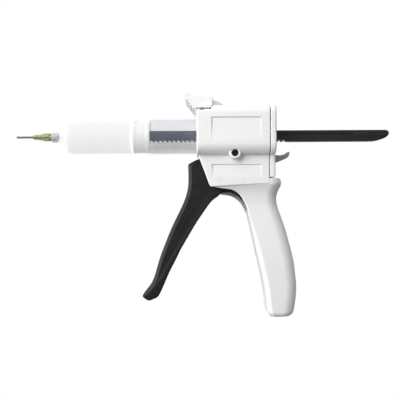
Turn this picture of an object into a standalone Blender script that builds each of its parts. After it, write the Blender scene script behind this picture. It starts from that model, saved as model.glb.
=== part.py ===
# A hand-held ratchet gun that presses paste out of a 30 cc syringe barrel.
#
# Squeezing the trigger turns it on the pivot screw. Its two ears carry a pawl
# that pushes a toothed rack and the piston forward by one tooth. The release
# lever on the pawl's tail, at the back, frees the rack so it can be drawn back.
# A latch on top holds the barrel's flange down in its slot.
#
# Lengths below are in millimetres, in the gun's frame: x runs back from the
# housing's front face, z up from the barrel's axis, y across. Meshes are made
# in metres, and the frame is placed so that the middle of the grip is at 0.

from math import asin, cos, pi, radians, sin

import bmesh
import bpy
from mathutils import Vector

MM = 0.001
GAP = 0.3                      # clearance between pieces that touch
GRIP_BEHIND_FRONT = 56.1       # grip centre, behind the housing's front face
GRIP_BELOW_BARREL = 78.5       # grip centre, below the barrel's axis

# Barrel: a 30 cc syringe body with a luer lock.
BARREL_R = 12.7
BORE_R = 11.25
BARREL_REAR = 4.7
FLANGE_THICKNESS = 2.0
FLANGE_R = 20.2
FLANGE_HALF_HEIGHT = 13.5
SHOULDER_X = -96.2
SHOULDER_ROUND = 3.6
NOZZLE_FLOOR_X = -94.4
COLLAR_R = 3.95
COLLAR_FRONT = -104.6

# Needle.
HUB_REAR = -101.5
HUB_FRONT = -118.2
HUB_R = 2.7
NEEDLE_FRONT = -130.4
NEEDLE_R = 0.8

# Housing: a box round the mechanism, a narrower slab below it, and the handle.
BOX_HALF_WIDTH = 22.5
BOX_TOP = 20.0
BOX_LOW_TOP = 17.7             # lower step of the roof, under the latch
BOX_CREASE = -14.3             # where the box meets the slab
BOX_TOP_ROUND = 6.0
HOUSING_REAR = 50.2
SLAB_HALF_WIDTH = 15.0
SLAB_BOTTOM_FRONT = (8.7, -36.8)
SLAB_BOTTOM_REAR = (51.0, -34.4)
BAY_HALF_WIDTH = 12.0          # the mechanism's bay inside box and slab
CHANNEL_HALF_WIDTH = 9.7       # the slot in the neck that the trigger enters
CORE_HALF_WIDTH = 7.4          # the hollow down the handle
HANDLE_BOTTOM = -128.7
WALL = 2.8

COVER_FRONT = HOUSING_REAR + GAP
COVER_REAR = 54.8
COVER_BOTTOM = -30.3

# Ratchet. One full squeeze moves the pawl's pin by exactly one tooth.
PITCH = 3.3
SQUEEZE_DEG = 28.0
PIVOT = (26.6, -13.4)
PIN_ARM = PITCH / (2 * sin(radians(SQUEEZE_DEG / 2)))
PIN = (PIVOT[0] + PITCH / 2, PIVOT[1] + PIN_ARM * cos(radians(SQUEEZE_DEG / 2)))
PIN_R = 1.1
PAWL_HUB_R = 2.2
BUSH_R = 2.9
RACK_HALF_WIDTH = 4.0
RACK_HALF_HEIGHT = 4.05
RACK_FRONT = -42.6
RACK_REAR = 138.4
RACK_PLAY = 0.5                # room round the rack in the walls it passes through
TOOTH_DEPTH = 0.95
TOOTH_ROOT = 1.2
TOOTH_LAND = 0.4
FIRST_GAP_X = 15.5             # the tooth gap above the pawl's nose
LAST_TOOTH_X = 64.0

TRIGGER_HALF_WIDTH = 9.2
EAR_INSIDE = 5.2               # the pawl works between the two ears
HORN_HALF_WIDTH = 6.0

# Latch.
LATCH_PIN = (20.5, 19.3)
LATCH_PIN_R = 1.1
LATCH_HALF_WIDTH = 16.0
LATCH_ARM_HALF_WIDTH = 7.0

# Rear cover screws: (y, z) of each.
COVER_SCREWS = [(-16.2, 13.6), (16.2, 13.6), (-9.6, -26.6), (9.6, -26.6)]


def clear_scene():
    for obj in list(bpy.data.objects):
        bpy.data.objects.remove(obj, do_unlink=True)


def make_material(name, colour, roughness, metallic=0.0):
    material = bpy.data.materials.new(name)
    material.use_nodes = True
    shader = material.node_tree.nodes["Principled BSDF"]
    shader.inputs["Base Color"].default_value = (*colour, 1.0)
    shader.inputs["Roughness"].default_value = roughness
    shader.inputs["Metallic"].default_value = metallic
    return material


# ---- outlines ----

def arc(centre, radius, start_deg, end_deg, steps):
    """Points on an arc, both ends included."""
    points = []
    for i in range(steps + 1):
        angle = radians(start_deg + (end_deg - start_deg) * i / steps)
        points.append((centre[0] + radius * cos(angle), centre[1] + radius * sin(angle)))
    return points


def circle(centre, radius, steps):
    return arc(centre, radius, 0, 360 * (steps - 1) / steps, steps - 1)


def rectangle(low_u, low_v, high_u, high_v):
    return [(low_u, low_v), (high_u, low_v), (high_u, high_v), (low_u, high_v)]


def smooth_through(points, steps):
    """A Catmull-Rom curve through the points, open, both ends included."""
    padded = [points[0]] + list(points) + [points[-1]]
    curve = []
    for i in range(len(points) - 1):
        a, b, c, d = (Vector(p) for p in padded[i:i + 4])
        for k in range(steps):
            t = k / steps
            spot = 0.5 * (2 * b + (c - a) * t + (2 * a - 5 * b + 4 * c - d) * t * t
                          + (3 * b - a - 3 * c + d) * t ** 3)
            curve.append(tuple(spot))
    curve.append(tuple(points[-1]))
    return curve


def mirrored(right_side):
    """Closes a (y, z) half outline, given top to bottom, about y = 0."""
    return right_side + [(-y, z) for y, z in reversed(right_side)]


# ---- solids, as bmesh in millimetres ----

def prism(outline, axis, low, high):
    """An outline pushed along an axis: (x, z) points along Y, or (y, z) points along X."""
    place = {"Y": lambda u, v, w: (u, w, v), "X": lambda u, v, w: (w, u, v)}[axis]
    bm = bmesh.new()
    ends = [[bm.verts.new(place(u, v, w)) for u, v in outline] for w in (low, high)]
    count = len(outline)
    for i in range(count):
        j = (i + 1) % count
        bm.faces.new((ends[0][i], ends[0][j], ends[1][j], ends[1][i]))
    bm.faces.new(ends[0])
    bm.faces.new(ends[1])
    bmesh.ops.recalc_face_normals(bm, faces=bm.faces)
    return bm


def box(low, high):
    return prism(rectangle(low[0], low[2], high[0], high[2]), "Y", low[1], high[1])


def loft(rings):
    """A closed skin through rings of the same number of points, capped at both ends."""
    bm = bmesh.new()
    loops = [[bm.verts.new(point) for point in ring] for ring in rings]
    count = len(rings[0])
    for a, b in zip(loops, loops[1:]):
        for i in range(count):
            j = (i + 1) % count
            bm.faces.new((a[i], a[j], b[j], b[i]))
    bm.faces.new(loops[0])
    bm.faces.new(loops[-1])
    bmesh.ops.recalc_face_normals(bm, faces=bm.faces)
    return bm


def turned(profile, segments):
    """Turns (x, radius) points round the x axis. The profile is a closed loop."""
    bm = bmesh.new()
    rings = []
    for k in range(segments):
        angle = 2 * pi * k / segments
        rings.append([bm.verts.new((x, r * sin(angle), r * cos(angle))) for x, r in profile])
    for k in range(segments):
        a, b = rings[k], rings[(k + 1) % segments]
        for i in range(len(profile)):
            j = (i + 1) % len(profile)
            if profile[i][1] > 0 or profile[j][1] > 0:
                bm.faces.new((a[i], b[i], b[j], a[j]))
    bmesh.ops.remove_doubles(bm, verts=bm.verts, dist=1e-5)
    bmesh.ops.recalc_face_normals(bm, faces=bm.faces)
    return bm


def across(profile, centre, segments):
    """Turns (y, radius) points round an axis that runs along y through centre (x, z)."""
    bm = turned(profile, segments)
    for vert in bm.verts:
        along, side, up = vert.co
        vert.co = (centre[0] + side, along, centre[1] + up)
    bm.normal_update()
    bmesh.ops.recalc_face_normals(bm, faces=bm.faces)
    return bm


def cylinder(centre, radius, low, high, segments=24):
    return across([(low, 0), (low, radius), (high, radius), (high, 0)], centre, segments)


def tube_along(points, radius, sides):
    """A round wire along a list of 3-D points, with flat ends."""
    path = [Vector(point) for point in points]
    rings = []
    for i, spot in enumerate(path):
        ahead = path[min(i + 1, len(path) - 1)] - path[max(i - 1, 0)]
        across_path = ahead.cross(Vector((0, 1, 0)))
        if across_path.length < 1e-6:
            across_path = ahead.cross(Vector((0, 0, 1)))
        across_path.normalize()
        other = ahead.cross(across_path).normalized()
        rings.append([spot + radius * (cos(2 * pi * k / sides) * across_path
                                       + sin(2 * pi * k / sides) * other) for k in range(sides)])
    return loft(rings)


def soften(bm, width, segments=2, angle_deg=40):
    """Bevels every edge sharper than the angle."""
    sharp = [e for e in bm.edges if len(e.link_faces) == 2 and e.calc_face_angle(0) > radians(angle_deg)]
    bmesh.ops.bevel(bm, geom=sharp, offset=width, segments=segments, profile=0.5, affect="EDGES")
    return bm


# ---- objects ----

def temporary(bm):
    mesh = bpy.data.meshes.new("shape")
    bm.to_mesh(mesh)
    bm.free()
    obj = bpy.data.objects.new("shape", mesh)
    bpy.context.collection.objects.link(obj)
    return obj


def combine(base, operation, others):
    """Joins the others onto the base, or cuts them out of it, and gives back the result."""
    target = temporary(base)
    tools = [temporary(other) for other in others]
    for tool in tools:
        modifier = target.modifiers.new("combine", "BOOLEAN")
        modifier.operation = operation
        modifier.object = tool
    bpy.context.view_layer.update()
    result = target.evaluated_get(bpy.context.evaluated_depsgraph_get())
    bm = bmesh.new()
    bm.from_mesh(result.to_mesh())
    result.to_mesh_clear()
    for obj in [target] + tools:
        mesh = obj.data
        bpy.data.objects.remove(obj, do_unlink=True)
        bpy.data.meshes.remove(mesh)
    bmesh.ops.remove_doubles(bm, verts=bm.verts, dist=1e-4)
    return bm


def joined(base, *others):
    return combine(base, "UNION", others)


def cut(base, *others):
    return combine(base, "DIFFERENCE", others)


def add_piece(name, bm, material, origin=(0.0, 0.0, 0.0)):
    """Puts a shape in the gun's frame, with its origin at the given point."""
    for vert in bm.verts:
        vert.co = (vert.co - Vector(origin)) * MM
    mesh = bpy.data.meshes.new(name)
    bm.to_mesh(mesh)
    bm.free()
    mesh.materials.append(material)
    mesh.shade_smooth()
    mesh.set_sharp_from_angle(angle=radians(35))
    obj = bpy.data.objects.new(name, mesh)
    bpy.context.collection.objects.link(obj)
    obj.location = Vector(origin) * MM
    obj.parent = bpy.data.objects["gun_frame"]
    return obj


# ---- housing ----

def box_section():
    """The box's outline from the front, (y, z): round shoulders, sides drawn in below."""
    round_centre = (BOX_HALF_WIDTH - BOX_TOP_ROUND, BOX_TOP - BOX_TOP_ROUND)
    shoulder = arc(round_centre, BOX_TOP_ROUND, 90, 0, 6)
    tuck = []
    for i in range(7):
        angle = pi / 2 * i / 6
        tuck.append((SLAB_HALF_WIDTH + (BOX_HALF_WIDTH - SLAB_HALF_WIDTH) * cos(angle),
                     -6.5 + (BOX_CREASE + 6.5) * sin(angle)))
    return mirrored(shoulder + tuck)


def slab_outline(rear):
    """The slab from the side, (x, z), reaching up into the box."""
    return [(1.4, -11.0), (0.35, BOX_CREASE), SLAB_BOTTOM_FRONT, (rear, SLAB_BOTTOM_REAR[1]), (rear, -11.0)]


# The handle's edges from the side, top to bottom, as (x, z).
HANDLE_FRONT = [(11.0, -31.0), (9.0, -34.5), (12.0, -37.0), (23.2, -38.5), (28.8, -41.7), (32.3, -47.0),
                (34.4, -52.2), (36.0, -59.3), (38.1, -69.2), (40.6, -81.2), (43.0, -91.8), (45.8, -104.4),
                (47.3, -113.6), (48.6, -122.5)]
HANDLE_REAR = [(58.6, -30.7), (59.8, -32.6), (59.8, -35.6), (58.2, -39.2), (57.1, -42.6), (56.9, -46.0),
               (57.5, -50.1), (59.1, -55.1), (61.3, -61.4), (63.4, -67.8), (65.5, -76.2), (67.3, -83.3),
               (68.8, -90.3), (69.8, -98.8), (70.5, -106.6), (70.2, -114.3), (69.3, -121.0)]


def edge_at(edge, height):
    """The x of an edge at a height, along straight stretches between its points."""
    if height >= edge[0][1]:
        return edge[0][0]
    for (x0, z0), (x1, z1) in zip(edge, edge[1:]):
        if z1 <= height <= z0:
            return x0 + (x1 - x0) * (z0 - height) / (z0 - z1)
    return edge[-1][0]


def handle_half_width(height):
    """Wide under the slab, drawn in at the neck, full again in the palm."""
    return edge_at([(14.7, -31.0), (14.5, -35.0), (13.5, -38.0), (12.6, -42.0), (12.2, -47.0), (12.3, -60.0),
                    (13.2, -85.0), (13.6, -108.0), (13.4, -122.0)], height)


def handle_ring(height, shrink=0.0):
    """One level cut through the handle: chamfered front corners, round back corners."""
    front = edge_at(HANDLE_FRONT, height) + shrink
    rear = edge_at(HANDLE_REAR, height) - shrink
    half = handle_half_width(height) - shrink
    chamfer = min(3.0, (rear - front) / 6)
    back_round = min(8.5, half - 2.0, (rear - front) / 2)
    side = [(front, half - chamfer), (front + chamfer, half)]
    side += [(x, y) for x, y in arc((rear - back_round, half - back_round), back_round, 90, 0, 7)]
    return [(x, y, height) for x, y in side] + [(x, -y, height) for x, y in reversed(side)]


def handle_solid():
    heights = [-30.7, -32.6, -35.0, -36.6, -37.6, -38.6, -40.1, -41.8, -44.4, -47.2, -52.2, -59.4, -67.8,
               -76.2, -84.0, -91.8, -99.0, -106.6, -114.0, -119.0, -122.3]
    rings = [handle_ring(height) for height in heights]
    for drop, shrink in ((-125.2, 0.9), (-127.4, 2.7), (HANDLE_BOTTOM, 5.4)):
        rings.append([(x, y, drop) for x, y, _ in handle_ring(-122.5, shrink)])
    return loft(rings)


def offset_edge(edge, shift, low, high):
    """Points of an edge moved sideways, between two heights."""
    inside = [z for _, z in edge if low < z < high]
    return [(edge_at(edge, z) + shift, z) for z in [high] + inside + [low]]


def bay_cutter():
    """The mechanism's bay: under the barrel, up beside the rack, and open at the back."""
    outline = [(-8, -16.3), (12.0, -16.3), (12.0, -10.5), (7.5, -10.5), (7.5, 14.0), (60, 14.0), (60, -23.6),
               (47.6, -23.6), (47.6, -33.0), (14.0, -33.0), (14.0, -41.0), (-8, -41.0)]
    return prism(outline, "Y", -BAY_HALF_WIDTH, BAY_HALF_WIDTH)


def neck_cutter():
    """The slot between the handle's side walls that the trigger swings into."""
    outline = [(-2, -30), (37.5, -30), (37.5, -57.0), (34.8, -60.5), (20, -60.5), (-2, -50)]
    return prism(outline, "Y", -CHANNEL_HALF_WIDTH, CHANNEL_HALF_WIDTH)


def core_cutter():
    """The hollow that runs down the handle."""
    back = offset_edge(HANDLE_REAR, -WALL, -121.0, -36.0)
    front = offset_edge(HANDLE_FRONT, WALL, -121.0, -62.5)
    outline = [(25.0, -32.0), (47.6, -32.0)] + back + list(reversed(front)) + [(25.0, -57.0)]
    return prism(outline, "Y", -CORE_HALF_WIDTH, CORE_HALF_WIDTH)


def barrel_seat_cutters():
    """The U-shaped mouth for the barrel, the flange's slot, and the hole for the rack."""
    mouth_r = BARREL_R + GAP
    mouth = arc((0, 0), mouth_r, 180, 360, 20) + [(mouth_r, 30), (-mouth_r, 30)]
    slot_r = FLANGE_R + GAP
    slot_low = -FLANGE_HALF_HEIGHT - GAP
    side_deg = asin(FLANGE_HALF_HEIGHT / FLANGE_R) * 180 / pi
    slot = [(-slot_r * cos(radians(side_deg)), slot_low), (slot_r * cos(radians(side_deg)), slot_low)]
    slot += arc((0, 0), slot_r, -side_deg, 0, 6)[1:] + [(slot_r, 30), (-slot_r, 30)]
    slot += list(reversed(arc((0, 0), slot_r, 180 + side_deg, 180, 6)[1:]))
    slot_front = BARREL_REAR - FLANGE_THICKNESS - GAP
    return [prism(mouth, "X", -5, slot_front + 0.1), prism(slot, "X", slot_front, BARREL_REAR + GAP),
            box((BARREL_REAR, -5.5, -5.5), (9.0, 5.5, 5.5))]


def side_chamber_cutters():
    """Core-outs in the box's thick sides, open at the back and closed by the cover."""
    return [box((8.0, min(side * 14.5, side * 19.8), -4.5), (60.0, max(side * 14.5, side * 19.8), 8.5))
            for side in (-1, 1)]


def panel_cutters():
    """Shallow recesses on both sides, deepest along the upper edge and running out below."""
    cutters = []
    for side in (-1, 1):
        upper = [(side * (BOX_HALF_WIDTH - 0.9), 11.2), (side * 24, 11.2), (side * 24, -4.5),
                 (side * (BOX_HALF_WIDTH - 0.05), -4.5)]
        lower = [(side * (SLAB_HALF_WIDTH - 0.8), -21.0), (side * 16, -21.0), (side * 16, -30.0),
                 (side * (SLAB_HALF_WIDTH - 0.05), -30.0)]
        cutters += [prism(upper, "X", 10.2, 44.6), prism(lower, "X", 10.5, 45.4)]
    return cutters


def roof_cutters():
    """The step in the roof under the latch, and the notch for the latch's knuckle."""
    step = [(-5, BOX_LOW_TOP), (9.7, BOX_LOW_TOP), (12.0, BOX_TOP), (12.0, 40), (-5, 40)]
    notch = [(14.5, BOX_TOP - 0.2), (16.9, 16.0), (23.9, 16.0), (23.9, 30), (14.5, 30)]
    notch_half = LATCH_ARM_HALF_WIDTH + GAP
    return [prism(step, "Y", -30, 30), prism(notch, "Y", -notch_half, notch_half)]


def make_housing(material):
    body = prism(box_section(), "X", 0.0, HOUSING_REAR)
    soften(body, 0.9, 2, 60)
    slab = soften(prism(slab_outline(HOUSING_REAR), "Y", -SLAB_HALF_WIDTH, SLAB_HALF_WIDTH), 0.9, 2, 60)
    hump = prism([(17.6, 15.0), (18.8, 22.4), (19.8, 22.6), (25.2, 19.7), (25.2, 15.0)], "Y", -12.0, 12.0)
    bosses = [cylinder(PIVOT, 4.7, side * 13.0, side * 17.6, 28) for side in (-1, 1)]
    body = joined(body, slab, handle_solid())
    body = cut(body, *roof_cutters()[:1])
    body = joined(body, hump, *bosses)
    screw_posts = [prism(circle((y, z), 2.6, 16), "X", 44.5, HOUSING_REAR) for y, z in COVER_SCREWS[2:]]
    links = [box((44.6, min(y, y * 1.28), z - 1.5), (HOUSING_REAR - 0.1, max(y, y * 1.28), z + 1.5))
             for y, z in COVER_SCREWS[2:]]
    body = cut(body, bay_cutter(), neck_cutter(), core_cutter(), *side_chamber_cutters())
    body = joined(body, *screw_posts, *links)
    tail = [cylinder(PIVOT, 1.8, -20, 20, 24), cylinder(PIVOT, 2.65, -20, -15.0, 24),
            prism(circle(PIVOT, 3.5, 6), "Y", 14.8, 20),
            cylinder(LATCH_PIN, LATCH_PIN_R + 0.2, -11.5, 11.5, 16)]
    tail += [prism(circle((y, z), 1.5, 14), "X", 40.0, 60.0) for y, z in COVER_SCREWS]
    body = cut(body, *roof_cutters()[1:], *barrel_seat_cutters(), *panel_cutters(), *tail)
    add_piece("housing", body, material)


def rack_hole(low, high):
    """The hole that a guide or wall leaves for the rack, from one x to another."""
    half_width, half_height = RACK_HALF_WIDTH + RACK_PLAY, RACK_HALF_HEIGHT + RACK_PLAY
    return box((low, -half_width, -half_height), (high, half_width, half_height))


def make_rear_cover(material):
    plate = prism(box_section(), "X", COVER_FRONT, COVER_REAR)
    lower = box((COVER_FRONT, -SLAB_HALF_WIDTH, COVER_BOTTOM), (COVER_REAR, SLAB_HALF_WIDTH, -11.0))
    plate = joined(plate, lower)
    rounding = [e for e in plate.edges if all(v.co.x > COVER_REAR - 0.01 for v in e.verts)
                and len(e.link_faces) == 2 and e.calc_face_angle(0) > 1.0]
    bmesh.ops.bevel(plate, geom=rounding, offset=0.9, segments=2, profile=0.5, affect="EDGES")
    cutters = [rack_hole(50, 56), box((50, -4.8, -22.6), (56, 4.8, -10.8))]
    for y, z in COVER_SCREWS:
        cutters.append(prism(circle((y, z), 1.5, 14), "X", 50, 56))
        cutters.append(prism(circle((y, z), 2.6, 18), "X", COVER_REAR - 1.9, 56))
    add_piece("rear_cover", cut(plate, *cutters), material)


def make_cover_screws(material):
    """Four pan-head screws through the rear cover, one object each."""
    head_front = COVER_REAR - 1.9 + GAP
    head_rear = COVER_REAR - 0.2
    for index, (y, z) in enumerate(COVER_SCREWS):
        profile = [(41.5, 0), (41.5, 0.7), (42.5, 1.2), (head_front, 1.2), (head_front, 2.3),
                   (head_rear - 0.5, 2.3), (head_rear, 1.6), (head_rear, 0)]
        screw = turned(profile, 16)
        slot_floor = head_rear - 0.7
        cross = [box((slot_floor, -1.3, -0.25), (56, 1.3, 0.25)),
                 box((slot_floor, -0.25, -1.3), (56, 0.25, 1.3))]
        screw = cut(screw, *cross)
        for vert in screw.verts:
            vert.co += Vector((0, y, z))
        add_piece("cover_screw_%d" % (index + 1), screw, material)


# ---- barrel and needle ----

def make_barrel(material):
    outer_round = arc((SHOULDER_X + SHOULDER_ROUND, BARREL_R - SHOULDER_ROUND), SHOULDER_ROUND, 90, 180, 5)
    inner_round = arc((NOZZLE_FLOOR_X + 2.6, BORE_R - 2.6), 2.6, 180, 90, 4)
    profile = [(BARREL_REAR, BARREL_R)] + outer_round
    profile += [(SHOULDER_X, COLLAR_R + 0.5), (SHOULDER_X - 0.5, COLLAR_R), (COLLAR_FRONT, COLLAR_R),
                (COLLAR_FRONT, 3.05), (-98.2, 3.05), (-98.2, 2.1), (-106.0, 1.95), (-106.0, 1.0),
                (-95.4, 1.0), (NOZZLE_FLOOR_X, 2.4)]
    profile += inner_round + [(BARREL_REAR, BORE_R)]
    body = turned(profile, 44)
    side_deg = asin(FLANGE_HALF_HEIGHT / FLANGE_R) * 180 / pi
    outline = (arc((0, 0), FLANGE_R, -side_deg, side_deg, 10)
               + arc((0, 0), FLANGE_R, 180 - side_deg, 180 + side_deg, 10))
    flange = prism(outline, "X", BARREL_REAR - FLANGE_THICKNESS, BARREL_REAR - 0.05)
    hole = prism(circle((0, 0), (BARREL_R + BORE_R) / 2, 44), "X", 0, 8)
    add_piece("barrel", joined(body, cut(flange, hole)), material)


def make_needle(hub_material, steel):
    profile = [(HUB_REAR, 2.75), (-104.9, 2.75), (-105.2, HUB_R), (-111.8, HUB_R), (-112.8, 2.35),
               (-113.8, 1.75), (-117.9, 1.4), (HUB_FRONT, 1.2), (HUB_FRONT, NEEDLE_R + 0.15),
               (-107.2, NEEDLE_R + 0.15), (-106.8, 2.15), (HUB_REAR, 2.28)]
    hub = turned(profile, 28)
    wings = [box((-112.4, -0.35, -3.1), (-105.6, 0.35, -2.4)), box((-112.4, -0.35, 2.4), (-105.6, 0.35, 3.1)),
             box((-112.4, 2.4, -0.35), (-105.6, 3.1, 0.35)), box((-112.4, -3.1, -0.35), (-105.6, -2.4, 0.35))]
    add_piece("needle_hub", joined(hub, *wings), hub_material)
    tube = [(NEEDLE_FRONT, 0.5), (NEEDLE_FRONT, NEEDLE_R), (-107.6, NEEDLE_R), (-107.6, 0.5)]
    add_piece("needle_tube", turned(tube, 16), steel)


def make_paste(material):
    """The charge between the nozzle and the piston's nose."""
    radius = BORE_R - GAP
    front = NOZZLE_FLOOR_X + GAP
    profile = [(front, 0), (front, 8.4)] + arc((front + 2.5, radius - 2.5), 2.5, 170, 90, 3)
    profile += [(-45.5, radius), (-46.9, 9.4), (-49.6, 5.0), (-49.6, 0)]
    add_piece("paste_charge", turned(profile, 32), material)


# ---- rack and piston ----

def rack_outline():
    """The rack from the side: saw teeth below, then a plain shank and an upturned tail."""
    bottom = -RACK_HALF_HEIGHT
    root = bottom + TOOTH_DEPTH
    first = int((RACK_FRONT + 3.0 - FIRST_GAP_X) / PITCH)
    last = int((LAST_TOOTH_X - FIRST_GAP_X) / PITCH)
    points = [(RACK_FRONT, bottom)]
    for k in range(first, last + 1):
        x = FIRST_GAP_X + k * PITCH
        points += [(x, bottom), (x, root), (x + TOOTH_ROOT, root), (x + PITCH - TOOTH_LAND, bottom)]
    points += [(122.0, bottom), (129.0, -3.75), (134.0, -2.4), (137.2, -0.3), (RACK_REAR, 1.7), (137.9, 2.9),
               (136.6, 3.8), (134.6, RACK_HALF_HEIGHT), (RACK_FRONT, RACK_HALF_HEIGHT)]
    return points


def make_rack(material):
    bar = prism(rack_outline(), "Y", -RACK_HALF_WIDTH, RACK_HALF_WIDTH)
    top_edges = [e for e in bar.edges if all(v.co.z > 0 for v in e.verts) and abs(e.verts[0].co.y) > 3.9
                 and e.verts[0].co.y * e.verts[1].co.y > 0]
    bmesh.ops.bevel(bar, geom=top_edges, offset=0.7, segments=2, profile=0.5, affect="EDGES")
    grooves = [prism(rectangle(RACK_FRONT - 1, 0.2, 112.0, 1.6), "Y", *sorted((side * 3.4, side * 5.0)))
               for side in (-1, 1)]
    screw_hole = prism(circle((0, 0), 1.4, 12), "X", RACK_FRONT - 1, RACK_FRONT + 9)
    add_piece("rack", cut(bar, screw_hole, *grooves), material, (RACK_FRONT, 0, 0))


def make_push_disc(disc_material, steel):
    rear = RACK_FRONT - GAP
    disc = [(rear - 1.8, 1.5), (rear - 1.8, 7.6), (rear - 1.2, 8.2), (rear, 8.2), (rear, 1.5)]
    add_piece("push_disc", turned(disc, 28), disc_material, (RACK_FRONT, 0, 0))
    seat = rear - 1.8 - 0.2
    screw = [(seat - 0.9, 0), (seat - 0.9, 2.0), (seat - 0.4, 2.6), (seat, 2.6), (seat, 1.15),
             (RACK_FRONT + 8, 1.15), (RACK_FRONT + 8.5, 0.6), (RACK_FRONT + 8.5, 0)]
    add_piece("push_disc_screw", turned(screw, 16), steel, (RACK_FRONT, 0, 0))


def make_piston(material):
    """A hollow wiper piston: blunt nose, two sealing lips, open at the back."""
    lip = BORE_R - GAP
    profile = [(-49.3, 0), (-49.3, 5.0), (-46.6, 9.4), (-45.2, lip), (-43.6, lip), (-43.0, 10.4),
               (-37.6, 10.4), (-37.0, lip), (-34.2, lip), (-33.9, 10.6), (-33.9, 9.2), (-45.0, 8.8),
               (-46.7, 7.4), (-46.7, 0)]
    add_piece("piston", turned(profile, 36), material, (RACK_FRONT, 0, 0))


# ---- trigger and ratchet ----

TRIGGER_FRONT = [(-6.2, -22.1), (-6.1, -28.1), (-6.2, -35.2), (-7.2, -40.9), (-9.7, -48.0), (-13.2, -55.2),
                 (-16.8, -62.3), (-20.0, -69.4), (-22.8, -76.5), (-25.7, -83.7), (-28.2, -91.5),
                 (-30.3, -99.4), (-33.2, -105.8), (-36.4, -110.0), (-39.6, -113.6)]
TRIGGER_REAR = [(-28.0, -114.1), (-25.2, -109.7), (-22.0, -102.6), (-19.2, -96.2), (-15.6, -89.8),
                (-11.4, -81.3), (-6.4, -72.8), (-0.7, -62.9), (4.9, -54.4), (9.2, -48.0), (12.7, -44.8),
                (16.6, -42.4)]


def trigger_body():
    """The grip blade with the two ears: front edge down to the toe, rear edge up to the head."""
    crown = arc(PIN, 2.7, 150, -20, 6)
    head = [(28.6, -22.5), (31.4, -17.0), (31.6, -12.5)] + list(reversed(crown))
    head += [(22.4, -9.6), (18.6, -13.9), (12.0, -17.0), (1.4, -17.6), (-2.9, -19.3)]
    outline = TRIGGER_FRONT + [(-34.7, -117.0)] + TRIGGER_REAR + head
    return prism(outline, "Y", -TRIGGER_HALF_WIDTH, TRIGGER_HALF_WIDTH)


def trigger_horn():
    """The narrow web behind the head, which fills the arch of the neck."""
    lower = [(12.0, -44.5), (17.7, -41.9), (24.1, -42.8), (29.0, -45.4), (32.6, -49.0), (34.2, -52.4)]
    outline = lower + [(35.8, -51.8), (34.6, -42.0), (32.8, -34.0), (31.8, -22.0), (28.6, -20.0),
                       (12.0, -30.0)]
    return prism(outline, "Y", -HORN_HALF_WIDTH, HORN_HALF_WIDTH)


def make_trigger(material):
    body = trigger_body()
    long_edges = [e for e in body.edges if abs(e.verts[0].co.y) > 9 and e.verts[0].co.y * e.verts[1].co.y > 0]
    front = [e for e in long_edges if all(v.co.x < 2.0 and v.co.z > -118 for v in e.verts)
             and all(v.co.x <= edge_at(TRIGGER_FRONT, v.co.z) + 0.5 for v in e.verts)]
    bmesh.ops.bevel(body, geom=front, offset=2.7, segments=2, profile=0.5, affect="EDGES")
    body = joined(body, trigger_horn())
    pawl_slot = prism([(10, -11.2), (22.6, -12.4), (23.4, -9.3), (29.8, -9.3), (34, -14.5), (34, 2), (10, 2)],
                      "Y", -EAR_INSIDE, EAR_INSIDE)
    tail_slot = prism([(27.6, -8.9), (35.2, -20.6), (40, -20.6), (40, -5), (27.6, -5)], "Y", -1.8, 1.8)
    bore = cylinder(PIVOT, BUSH_R + 0.2, -15, 15, 28)
    pin_hole = cylinder(PIN, PIN_R + 0.2, -15, 15, 16)
    add_piece("trigger", cut(body, pawl_slot, tail_slot, bore, pin_hole), material, (PIVOT[0], 0, PIVOT[1]))


def make_pivot(steel, dark_steel, plastic):
    """Screw, nut, bush and two spacers on the trigger's axis; all of them stay still."""
    origin = (PIVOT[0], 0, PIVOT[1])
    head = [(-16.9, 0), (-16.9, 1.9), (-16.5, 2.35), (-15.3, 2.35), (-15.3, 1.5), (16.9, 1.5), (16.9, 0)]
    socket = prism(circle(PIVOT, 1.45, 6), "Y", -18, -15.9)
    add_piece("pivot_screw", cut(across(head, PIVOT, 24), socket), dark_steel, origin)
    nut = cut(prism(circle(PIVOT, 3.15, 6), "Y", 15.1, 17.2), cylinder(PIVOT, 1.7, 10, 20, 20))
    add_piece("pivot_nut", nut, steel, origin)
    reach = BAY_HALF_WIDTH - GAP
    bush = [(-reach, 1.7), (-reach, BUSH_R), (reach, BUSH_R), (reach, 1.7)]
    add_piece("pivot_bush", across(bush, PIVOT, 28), steel, origin)
    for name, side in (("pivot_spacer_near", -1), ("pivot_spacer_far", 1)):
        inner, outer = side * (TRIGGER_HALF_WIDTH + GAP), side * reach
        ring = [(inner, BUSH_R + 0.2), (inner, 5.2), (outer, 5.2), (outer, BUSH_R + 0.2)]
        add_piece(name, across(ring, PIVOT, 24), plastic, origin)


def make_pawl(steel):
    hub = arc(PIN, PAWL_HUB_R, 140, -130, 12)
    outline = [(15.6, -7.2), (15.6, -4.5), (16.1, -4.5), (18.3, -5.6), (25.0, -5.5)] + hub + [(18.4, -8.3)]
    nose = prism(outline, "Y", -2.8, 2.8)
    tail = prism([(27.4, -5.7), (30.2, -5.8), (45.0, -13.6), (44.4, -15.4), (29.0, -8.4)], "Y", -1.4, 1.4)
    bore = cylinder(PIN, PIN_R + 0.15, -10, 10, 16)
    origin = (PIN[0], 0, PIN[1])
    add_piece("pawl", cut(joined(nose, tail), bore), steel, origin)
    pin = [(-8.9, 0), (-8.9, PIN_R), (8.9, PIN_R), (8.9, 0)]
    add_piece("pawl_pin", across(pin, PIN, 16), steel, origin)


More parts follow.
